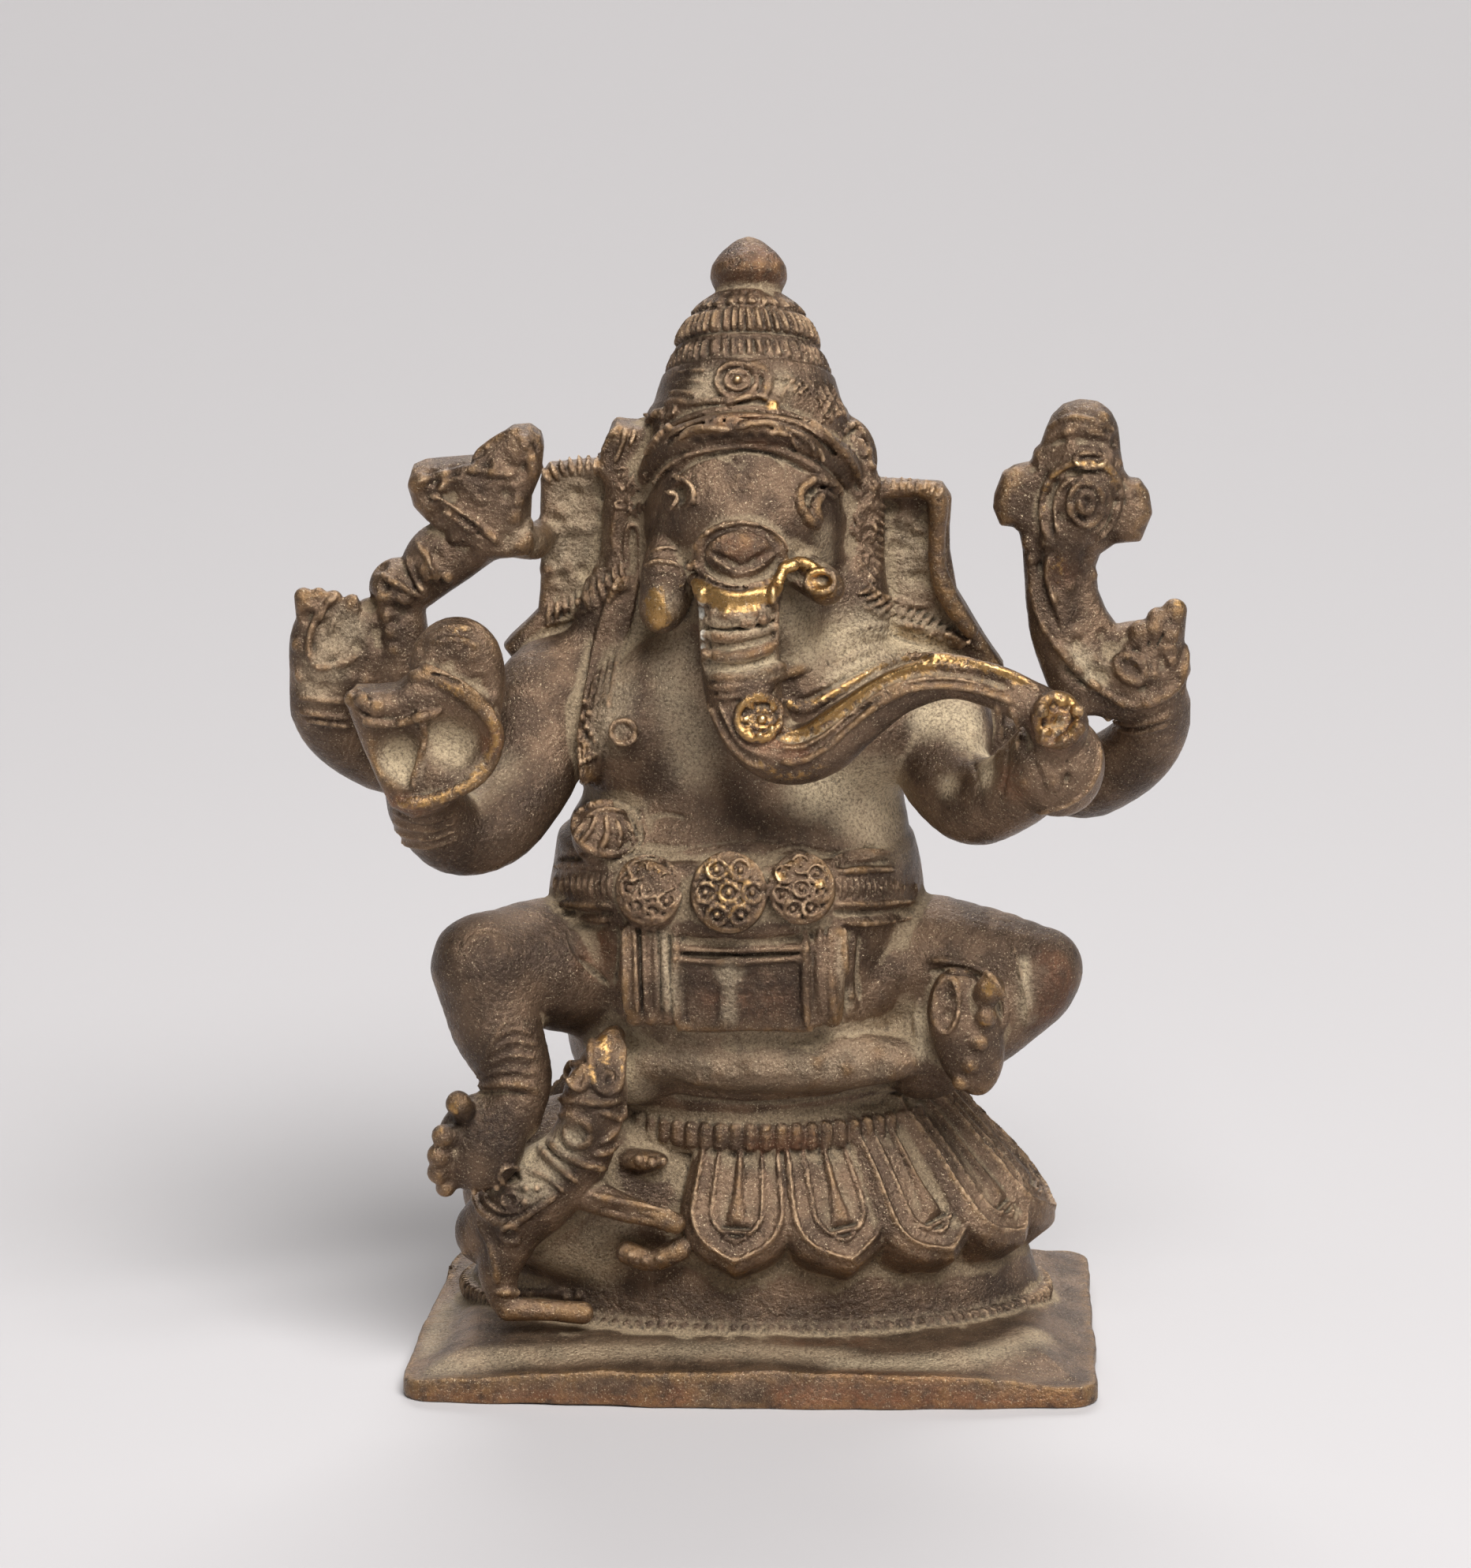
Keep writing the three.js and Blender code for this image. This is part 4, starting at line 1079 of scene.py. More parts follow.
def trunk_lines():
    rows = [
        ([(-3.3, 15.3), (-2.0, 15.1), (-0.4, 15.2), (1.1, 15.5)], 0.3),
        ([(-3.4, 14.6), (-2.0, 14.4), (-0.4, 14.6), (1.2, 14.9)], 0.28),
        ([(-3.4, 13.6), (-2.0, 13.35), (-0.4, 13.7), (1.2, 14.15)], 0.3),
        ([(-3.4, 12.25), (-2.0, 11.95), (-0.3, 12.2), (1.3, 12.9)], 0.32),
        ([(-3.0, 10.6), (-1.2, 10.5), (0.4, 10.9), (2.0, 11.4)], 0.3),
        ([(-3.2, 9.9), (-1.4, 9.8), (0.4, 10.2), (2.4, 10.9), (3.6, 11.2)], 0.26),
        ([(-2.9, 9.2), (-1.5, 9.2), (-0.4, 9.6), (1.2, 9.9)], 0.2),
    ]
    for row, radius in rows:
        threads([row], 1.35 * radius, 1.5 * radius, 0.1)
    threads([[(1.25, 17.2), (1.15, 16.2), (1.4, 15.0), (1.35, 13.9), (1.4, 12.9)]], 0.24, 0.24)
    threads([[(-3.9, 16.8), (-3.75, 15.0), (-3.7, 13.4), (-3.6, 12.0), (-3.4, 10.9)]], 0.28, 0.22)
    grooves([[(-3.4, 16.0), (-3.35, 14.6), (-3.3, 13.0), (-3.2, 11.8)]], 0.18, 0.15)
    # The flower boss at the bend
    threads([ring((0.2, 7.65), 1.5, 1.45, points=25)], 0.34, 0.36)
    lumps([(0.4, 7.55)], 0.36, 0.4)
    threads([ring((0.4, 7.55), 0.75, 0.65)], 0.16, 0.16)
    lumps([(-0.75, 7.6), (-0.35, 8.45), (-0.6, 6.8), (0.3, 6.4), (1.15, 6.9), (1.1, 8.3)], 0.26, 0.25)
    threads([[(-3.4, 8.8), (-2.6, 7.2), (-1.8, 5.9), (-0.6, 4.7), (0.6, 4.2)]], 0.24, 0.26)
    threads([[(-2.7, 8.9), (-2.0, 7.4), (-1.3, 6.2), (-0.2, 5.3), (1.0, 5.0)]], 0.2, 0.2)
    # Two long ridges with a channel between them, out along the trunk to its end
    threads([[
        (1.9, 8.9), (3.4, 8.3), (5.0, 9.1), (6.6, 10.0), (8.4, 11.0), (10.2, 11.65), (12.2, 11.9),
        (14.2, 11.8), (16.2, 11.3), (18.4, 10.5), (20.0, 9.5),
    ]], 0.3, 0.32)
    threads([[
        (1.9, 4.6), (3.4, 4.7), (5.0, 5.6), (6.6, 7.0), (8.2, 8.3), (10.0, 9.4), (12.0, 9.9), (14.0, 9.9),
        (16.2, 9.5), (18.2, 8.8),
    ]], 0.28, 0.28)
    grooves([[
        (1.6, 6.3), (3.2, 6.4), (4.8, 7.2), (6.4, 8.4), (8.2, 9.7), (10.0, 10.6), (12.0, 11.0),
        (14.0, 10.9), (16.0, 10.5), (18.0, 9.8),
    ]], 0.5, 0.34)
    threads([[
        (1.7, 5.6), (3.2, 5.6), (4.8, 6.4), (6.4, 7.7), (8.2, 9.0), (10.0, 9.95), (12.0, 10.4),
        (14.0, 10.4), (16.0, 10.0),
    ]], 0.2, 0.22)
    threads([[(3.2, 9.3), (4.8, 10.0), (6.4, 10.9), (8.0, 11.6), (9.6, 12.1)]], 0.2, 0.2)
    # The bud that the trunk reaches
    threads([ring((21.2, 7.6), 1.4, 1.6, points=21)], 0.42, 0.4)
    lumps([(21.6, 8.9), (20.2, 8.2), (20.4, 6.6), (21.6, 6.0), (22.7, 7.0), (22.7, 8.2)], 0.5, 0.42)
    dents([(21.3, 7.5)], 0.5, 0.3)
    threads([[(18.0, 8.4), (18.6, 7.0), (18.4, 5.4)], [(17.0, 8.6), (17.3, 7.2), (17.1, 6.0)]], 0.3, 0.26)


def ear_lines():
    gnarled([(-14.6, 23.6), (-11.2, 24.4), (-10.2, 18.0), (-11.6, 16.0), (-14.8, 15.2)], 34, 0.6, 0.2)
    gnarled([(9.2, 23.2), (12.0, 22.8), (12.4, 17.0), (9.2, 17.6)], 24, 0.6, 0.2)
    # Scalloped top edges
    arcs_along([(-14.8, 24.8), (-13.6, 25.4), (-12.2, 25.6), (-11.2, 25.5)], 6, 0.7, 0.26, 0.3)
    arcs_along([(8.6, 24.2), (10.2, 24.1), (11.8, 23.9), (13.0, 23.5)], 9, 0.45, 0.2, 0.24)
    arcs_along([(8.9, 22.6), (8.8, 20.6), (8.7, 18.8), (8.2, 17.4)], 9, 0.45, 0.18, 0.22, 0.6)
    # Rope-like rolls where the ears meet the shoulders
    arcs_along([
        (7.8, 16.6), (9.0, 15.6), (10.4, 15.0), (11.8, 14.6), (13.2, 13.9), (14.6, 12.9),
    ], 13, 0.55, 0.24, 0.34, 0.5)
    threads([
        [(7.7, 17.2), (8.9, 16.3), (10.4, 15.8), (12.2, 15.5)],
        [(7.4, 15.7), (9.0, 14.8), (11.0, 14.2), (13.4, 13.2)],
    ], 0.2, 0.2)
    arcs_along([
        (-14.6, 14.9), (-13.2, 15.4), (-11.8, 16.2), (-10.4, 17.1), (-9.4, 17.8),
    ], 10, 0.6, 0.24, 0.3, 0.4)
    threads([[(-14.8, 14.2), (-12.6, 14.9), (-10.6, 16.2), (-9.4, 17.0)]], 0.2, 0.18)
    # Curled locks between the ears and the head
    curls([(-10.6, 25.4), (-8.0, 26.4), (-7.5, 24.4), (-7.9, 21.8), (-8.6, 20.4), (-9.6, 22.2)], 0.85, 0.3)
    curls([(7.0, 24.6), (8.4, 25.0), (8.4, 21.0), (7.9, 17.6), (6.9, 17.4), (6.7, 20.6)], 0.75, 0.3)
    threads([
        [(-8.3, 21.0), (-8.2, 18.6), (-8.4, 16.6)], [(-9.0, 21.4), (-9.2, 20.0), (-9.1, 18.4)],
        [(-9.8, 22.2), (-10.1, 20.6), (-9.9, 19.2)],
    ], 0.22, 0.16)
    # Leaves above the ears
    threads([
        [(-10.9, 26.0), (-10.3, 27.4), (-9.8, 28.2)], [(-10.0, 25.6), (-9.4, 27.0), (-9.2, 28.2)],
        [(-9.0, 26.6), (-8.6, 27.6), (-8.6, 28.2)],
    ], 0.26, 0.26)
    threads([
        [(6.4, 28.0), (7.0, 28.4), (7.6, 27.6), (8.1, 26.4)], [(6.7, 27.4), (7.2, 27.6), (7.6, 26.4)],
    ], 0.24, 0.24)


def chest_lines():
    # Strands of the sacred thread over the left shoulder
    STRANDS = 5
    STRAND_GAP = 0.6
    for i in range(STRANDS):
        shift = i * STRAND_GAP
        threads([[
            (-8.4 - 0.5 * shift, 17.6), (-9.0 - 0.7 * shift, 14.6), (-9.7 - 0.75 * shift, 11.6),
            (-10.3 - 0.7 * shift, 8.6), (-10.9 - 0.6 * shift, 5.6), (-11.2 - 0.4 * shift, 3.0),
        ]], 0.26, 0.3, 0.08)
    # Left breast with its ring
    lumps([(-9.35, 6.6)], 1.35, 0.5, 0.6)
    threads([ring((-9.35, 6.65), 0.8, 0.75)], 0.26, 0.32)
    # Feather-like strokes of the necklace on the right
    for level, reach in ((12.9, 1.0), (11.4, 0.9)):
        rail = [
            (4.9, level - 0.9), (7.0, level + 0.5), (9.4, level + 0.9), (12.0, level + 0.5),
            (14.6, level - 0.2),
        ]
        arcs_along(rail, 26, reach * 0.5, 0.16, 0.18, 0.9)
    threads([
        [(4.9, 12.8), (6.6, 13.7), (8.8, 14.2), (11.6, 14.0), (14.4, 13.2), (16.0, 12.4)],
        [(5.0, 10.9), (6.6, 11.9), (8.2, 12.6), (9.6, 12.8)],
    ], 0.2, 0.16)
    # Creases of the belly above the belt
    grooves([
        [(-7.4, 0.6), (-6.2, 0.85), (-4.8, 0.5)],
        [(-7.6, -1.3), (-5.5, -1.5), (-3.0, -1.2), (-0.6, -0.9), (2.0, -1.1)],
        [(0.8, -1.9), (3.0, -1.4), (5.2, -2.0), (8.6, -1.5)],
    ], 0.22, 0.16)


def belt_lines():
    # Knot of the snake at the left, with its leaf strokes
    threads([ring((-10.5, -0.2), 2.3, 1.75, -8, 25)], 0.3, 0.3)
    threads([
        [(-12.0, 0.6), (-10.6, 1.1), (-9.0, 0.9)], [(-11.2, 0.9), (-11.6, -0.2), (-12.4, -1.2)],
        [(-10.6, 0.7), (-10.5, -0.6), (-11.0, -1.7)], [(-9.9, 0.6), (-9.6, -0.6), (-9.9, -1.7)],
        [(-9.3, 0.5), (-8.8, -0.4), (-8.7, -1.3)], [(-12.2, 0.2), (-12.8, -0.8)],
    ], 0.26, 0.28)
    threads([[(-8.1, 1.3), (-7.9, 0.2), (-7.8, -1.0), (-8.6, -2.0)]], 0.24, 0.2)
    # Straps either side of the rosettes, with their milled bands
    threads([
        [(-14.2, -2.9), (-12.6, -2.75), (-10.6, -2.9)], [(-14.2, -5.4), (-12.4, -5.55), (-10.1, -5.6)],
        [(5.5, -2.3), (7.0, -1.95), (9.4, -1.9)], [(5.9, -3.2), (7.8, -3.1), (9.9, -3.1)],
        [(5.6, -5.45), (8.2, -5.5), (11.4, -5.3)], [(5.6, -6.75), (8.2, -6.85), (11.2, -6.5)],
    ], 0.26, 0.26)
    grooves([
        [(5.6, -2.75), (7.4, -2.6), (9.8, -2.5)], [(5.6, -6.1), (8.2, -6.2), (11.2, -5.95)],
        [(-14.0, -6.05), (-12.2, -6.25), (-10.2, -6.2)], [(-14.0, -2.4), (-12.2, -2.2), (-10.6, -2.35)],
    ], 0.26, 0.26)
    threads(rungs([(-14.1, -3.5), (-10.3, -3.5)], [(-14.1, -4.8), (-10.3, -4.95)], 10), 0.18, 0.22)
    threads(rungs([(5.9, -3.75), (11.2, -3.75)], [(5.9, -5.0), (11.4, -4.9)], 14), 0.18, 0.22)
    rosette((-7.5, -4.45), 2.1, 2.3, 0.72, 7, 20)
    rosette((-1.9, -4.65), 2.45, 2.65, 0.82, 6, 0)
    rosette((3.2, -4.35), 2.1, 2.3, 0.72, 7, 40)


def rosette(centre, across, up, size, count, start):
    """A flower of small ringed circles round a middle one, with a rim."""
    threads([ring(centre, across, up, points=29)], 0.22, 0.24)
    places = [centre]
    for i in range(count):
        angle = math.radians(start + 360 * i / count)
        places.append(
            (centre[0] + (across - size) * math.cos(angle), centre[1] + (up - size) * math.sin(angle)),
        )
    for place in places:
        reach = size * (0.8 if place == centre else 0.82)
        threads([ring(place, reach, points=13)], 0.18, 0.26, 0.05)
    lumps(places, 0.22, 0.28, 0.05)


def apron_lines():
    threads([
        [(-5.5, -8.6), (-2.0, -8.75), (3.4, -8.55)], [(-5.5, -9.35), (-2.0, -9.55), (3.4, -9.3)],
    ], 0.24, 0.26)
    grooves([[(-5.4, -9.0), (-2.0, -9.15), (3.3, -8.95)]], 0.2, 0.2)
    threads([
        [(-5.6, -7.4), (-5.6, -10.5), (-5.5, -14.1)], [(3.5, -7.4), (3.5, -10.5), (3.6, -14.1)],
    ], 0.26, 0.28)
    threads([ring((-1.9, -10.3), 0.95, 0.95)], 0.32, 0.12)
    lumps([(-1.9, -10.3)], 0.9, 0.14, 0.3)
    threads([
        [(-2.35, -11.3), (-2.4, -14.1)], [(-1.35, -11.3), (-1.3, -14.1)],
        [(-1.85, -11.2), (-1.85, -14.1)],
    ], 0.34, 0.12)
    grooves([[(-5.0, -9.9), (-5.0, -13.9)], [(3.0, -9.9), (3.0, -13.9)]], 0.2, 0.12)
    # Ribbons beside the apron
    for a in (-9.3, -8.6, -7.9, -7.2, -6.5):
        threads([[(a, -7.3), (a + 0.1, -10.3), (a + 0.25, -13.2)]], 0.22, 0.24)
    for a in (4.5, 5.3, 6.2):
        threads([[(a, -7.3), (a, -10.3), (a + 0.3, -13.6)]], 0.28, 0.28)
    # Folds of the cloth either side
    threads([[(6.9, -7.6), (6.6, -10.6), (6.9, -13.0), (7.6, -13.4)]], 0.34, 0.24, 0.25)
    lumps([(9.2, -11.0), (9.8, -10.2), (8.8, -12.0)], 1.9, 0.4, 0.6)
    grooves([[(7.4, -7.8), (7.2, -10.0), (7.4, -12.2)]], 0.3, 0.2)
    grooves([
        [(-13.3, -7.0), (-11.5, -7.2), (-9.9, -7.2), (-9.8, -9.5), (-10.0, -11.2)],
        [(-13.2, -7.4), (-12.6, -9.2), (-10.4, -11.2)],
    ], 0.24, 0.2)
    # Faint folds across the lap
    for level in (-15.0, -15.9, -16.8, -17.7, -18.6):
        grooves([[
            (-6.6, level), (-2.0, level - 0.35), (3.0, level - 0.25), (8.6, level + 0.5),
        ]], 0.3, 0.045)


def leg_lines():
    # Right leg: hem or anklet lines by the knee, and the foot with its sole
    threads([[(18.2, -8.4), (18.6, -9.8), (19.0, -11.6), (19.2, -13.0), (19.1, -14.1)]], 0.2, 0.16)
    threads([[(18.9, -8.9), (19.3, -10.2), (19.5, -11.6)]], 0.16, 0.1)
    threads([[
        (12.1, -9.5), (13.8, -9.6), (15.6, -10.0), (16.9, -11.0), (17.6, -12.6), (17.4, -14.4),
    ]], 0.3, 0.24)
    grooves([[(12.3, -10.3), (14.0, -10.3), (15.6, -10.6)]], 0.26, 0.22)
    threads([ring((13.5, -12.7), 0.85, 1.9, -4, 21)], 0.26, 0.26)
    dents([(13.5, -12.0), (13.5, -13.3)], 0.45, 0.2)
    threads([[(11.6, -12.2), (11.5, -14.0), (11.9, -16.2)]], 0.34, 0.28)
    # Left leg: fan of anklet lines and the band across the foot
    ANKLET = [
        ((-19.9, -17.9), (-15.4, -17.5)), ((-19.8, -17.4), (-15.2, -16.5)),
        ((-19.6, -16.9), (-15.4, -15.5)), ((-19.3, -16.3), (-15.8, -14.7)),
        ((-18.9, -15.6), (-16.4, -14.1)),
    ]
    for left, right in ANKLET:
        middle = ((left[0] + right[0]) / 2, max(left[1], right[1]) + 0.25)
        threads([[left, middle, right]], 0.17, 0.14)
    threads([[(-19.7, -18.4), (-18.0, -18.2), (-16.4, -18.3), (-15.4, -18.8)]], 0.3, 0.26)
    grooves([[(-19.3, -18.9), (-17.8, -18.8), (-16.2, -19.0)]], 0.24, 0.2)
    # The seat's edge below the lap
    grooves([[(-6.0, -19.2), (-2.0, -19.6), (3.0, -19.5), (7.4, -18.8), (10.2, -18.2)]], 0.25, 0.2)


def hand_lines():
    # Knobs and pits of the lap and the hands
    gnarled([(-9.0, -14.8), (9.0, -14.8), (10.0, -17.6), (0.0, -18.6), (-9.0, -18.2)], 30, 1.0, 0.14)
    gnarled([(-32.6, 15.6), (-27.4, 16.2), (-25.4, 12.4), (-28.4, 8.8), (-32.4, 9.4)], 24, 0.55, 0.24)
    gnarled([(21.4, 12.6), (30.2, 15.0), (30.4, 9.6), (26.0, 7.6), (22.4, 9.6)], 24, 0.55, 0.24)
    gnarled([(-24.0, 14.4), (-18.0, 14.0), (-18.0, 8.0), (-23.6, 10.6)], 10)
    gnarled([(18.4, 8.8), (24.2, 8.4), (24.2, 2.0), (15.0, 1.4), (14.6, 6.0)], 22)
    # Left front hand: cupped palm with a rolled rim, a cross ridge and a thumb lobe
    dents([(-25.2, 4.9)], 2.0, 0.55, 0.3)
    dents([(-21.6, 6.0)], 2.3, 0.65, 0.3)
    dents([(-24.6, 3.4)], 0.8, 0.25, 0.3)
    threads([[
        (-24.2, 10.6), (-22.4, 10.3), (-20.6, 9.4), (-19.0, 8.0), (-18.4, 6.4), (-19.0, 4.4),
        (-20.6, 2.9), (-22.8, 1.9), (-25.0, 1.6),
    ]], 0.55, 0.5)
    threads([[(-23.7, 8.3), (-23.5, 6.4), (-23.7, 4.4), (-24.2, 2.8)]], 0.32, 0.36)
    threads([[(-27.6, 7.4), (-26.0, 7.3), (-24.2, 7.6), (-22.4, 8.2)]], 0.34, 0.36)
    lumps([(-27.9, 9.0), (-26.9, 8.4)], 0.6, 0.35)
    grooves([
        [(-28.4, 8.6), (-27.8, 8.0), (-27.2, 7.9)], [(-27.4, 9.4), (-27.2, 8.6)],
        [(-26.4, 9.3), (-26.0, 8.4)],
    ], 0.22, 0.2)
    threads([[(-24.2, 11.4), (-22.6, 10.9), (-21.0, 10.2), (-19.4, 9.0)]], 0.26, 0.24)
    grooves([[(-24.2, 10.9), (-22.4, 10.7), (-20.6, 9.9)]], 0.2, 0.2)
    threads([
        [(-22.4, 13.9), (-21.2, 14.1), (-20.0, 13.9)], [(-22.8, 13.0), (-21.2, 13.2), (-19.7, 12.9)],
    ], 0.28, 0.2)
    for i in range(4):
        drop = 0.62 * i
        threads([[
            (-25.6 + 0.1 * i, 1.0 - drop), (-24.2, 0.5 - drop), (-22.6, 0.45 - drop), (-20.9, 1.0 - drop),
        ]], 0.2, 0.18)
    # Left back hand: palm rim, thumb ridge and bracelets
    dents([(-30.4, 13.6)], 1.5, 0.35, 0.3)
    threads([[(-31.4, 11.3), (-30.2, 11.2), (-28.9, 11.6), (-28.0, 12.1)]], 0.28, 0.26)
    threads([[(-29.6, 16.2), (-30.6, 15.4), (-31.2, 14.3), (-31.6, 12.8), (-31.4, 11.6)]], 0.3, 0.3)
    threads([[(-30.3, 15.6), (-31.0, 14.2)], [(-29.6, 14.9), (-30.2, 13.3)]], 0.22, 0.2)
    threads([
        [(-32.3, 9.2), (-30.8, 8.9), (-29.0, 8.8)], [(-32.0, 8.1), (-30.4, 7.8), (-28.8, 7.6)],
        [(-31.7, 7.5), (-30.2, 7.2), (-28.7, 7.0)],
    ], 0.2, 0.2)
    # Right back hand: hollow palm with a lens, and its bracelets
    dents([(25.2, 12.6)], 1.3, 0.35, 0.3)
    threads([[
        (20.9, 13.2), (22.6, 11.2), (24.4, 9.6), (26.4, 8.6), (28.4, 9.0), (30.0, 10.4), (30.3, 12.6),
    ]], 0.34, 0.3)
    threads([ring((26.5, 11.1), 1.1, 0.75, -38, 17)], 0.3, 0.3)
    grooves([[(28.0, 12.2), (28.9, 13.8)], [(27.4, 12.0), (27.9, 13.4)]], 0.2, 0.2)
    threads([
        [(24.6, 7.6), (26.4, 7.2), (28.6, 7.6), (29.3, 8.2)], [(25.2, 6.9), (27.0, 6.6), (29.0, 7.1)],
    ], 0.22, 0.2)
    # Right front hand: fingers round the bud
    dents([(16.5, 3.8)], 0.8, 0.2, 0.3)
    grooves([
        [(15.2, 8.0), (15.0, 6.0), (15.5, 4.0), (16.0, 2.0)],
        [(17.5, 7.8), (17.7, 5.6), (17.6, 3.4), (17.2, 1.6)], [(19.4, 5.0), (20.0, 3.6), (20.4, 2.2)],
        [(21.9, 5.0), (22.0, 3.6), (21.6, 2.2)],
    ], 0.26, 0.14)
    threads([[(24.2, 5.8), (24.2, 4.2), (23.4, 2.5), (21.8, 1.4), (19.8, 0.9)]], 0.26, 0.2)


def emblem_lines():
    # Knobs and pits of both
    gnarled([
        (-24.6, 25.4), (-15.2, 27.6), (-15.4, 19.6), (-19.4, 19.2), (-24.2, 15.0), (-27.0, 12.0),
        (-27.2, 17.4),
    ], 60, 0.6, 0.28)
    gnarled([
        (19.0, 29.4), (25.4, 29.4), (27.8, 23.6), (24.4, 18.8), (25.2, 12.6), (21.0, 12.0), (18.8, 20.0),
        (16.8, 23.6),
    ], 44, 0.5, 0.2)
    # Left: the double ridge over the blade, its folded head and the curl of its stem
    threads([[(-23.0, 23.4), (-21.4, 22.4), (-19.6, 21.3), (-18.0, 19.9)]], 0.34, 0.32)
    threads([[(-22.4, 22.7), (-21.0, 21.5), (-19.2, 20.2)]], 0.24, 0.22)
    grooves([[(-22.8, 23.0), (-21.2, 21.95), (-19.4, 20.75)]], 0.2, 0.24)
    threads([[(-23.8, 24.4), (-22.0, 24.9), (-20.2, 25.2), (-18.4, 25.0), (-17.0, 24.9)]], 0.34, 0.28)
    threads([
        [(-19.9, 26.0), (-18.4, 27.2), (-16.8, 28.0)], [(-16.6, 27.4), (-15.9, 26.2), (-15.8, 24.6)],
    ], 0.34, 0.28)
    dents([(-19.4, 23.4), (-17.6, 23.4), (-21.2, 24.0), (-18.0, 26.0)], 0.7, 0.26, 0.2)
    threads([
        [(-24.6, 19.0), (-24.1, 17.6), (-23.4, 16.4)], [(-24.0, 20.2), (-23.0, 18.6), (-22.4, 17.0)],
        [(-26.4, 17.8), (-25.0, 16.9), (-23.8, 16.2)],
    ], 0.28, 0.26)
    dents([(-22.4, 18.6), (-20.4, 19.6)], 0.6, 0.16, 0.2)
    # Right: the conch's whorl in rings, with its bands above
    threads([ring((23.3, 22.8), 1.15, 1.5, 0, 21)], 0.26, 0.26)
    threads([ring((23.3, 22.9), 0.5, 0.7, 0, 13)], 0.24, 0.22)
    threads([[
        (20.6, 20.4), (20.2, 22.2), (20.6, 24.2), (21.8, 25.4), (23.4, 25.7), (25.0, 25.2), (25.6, 23.6),
        (25.2, 21.6), (24.2, 20.2),
    ]], 0.3, 0.28)
    threads([[
        (21.4, 20.6), (21.1, 22.2), (21.5, 23.8), (22.6, 24.6), (24.0, 24.6), (24.9, 23.4), (24.6, 21.6),
        (23.8, 20.6),
    ]], 0.2, 0.2)
    grooves([[(21.0, 20.4), (20.7, 22.2), (21.1, 24.1), (22.2, 25.1), (23.6, 25.2)]], 0.18, 0.18)
    threads([ring((23.6, 25.9), 1.1, 0.5, 0, 17)], 0.22, 0.22)
    grooves([[(20.3, 26.8), (21.8, 27.3), (23.6, 27.2), (25.3, 27.0)]], 0.34, 0.26)
    threads([[(20.7, 28.2), (22.2, 28.9), (24.0, 28.6), (25.2, 28.0)]], 0.26, 0.2)
    grooves([[(20.2, 19.6), (20.1, 17.6), (20.6, 15.6), (21.4, 13.8)]], 0.3, 0.22)
    threads([
        [(20.9, 19.4), (20.6, 17.6), (21.2, 15.6)],
        [(19.5, 19.4), (19.5, 17.4), (19.8, 15.4), (20.6, 13.4)],
    ], 0.24, 0.22)


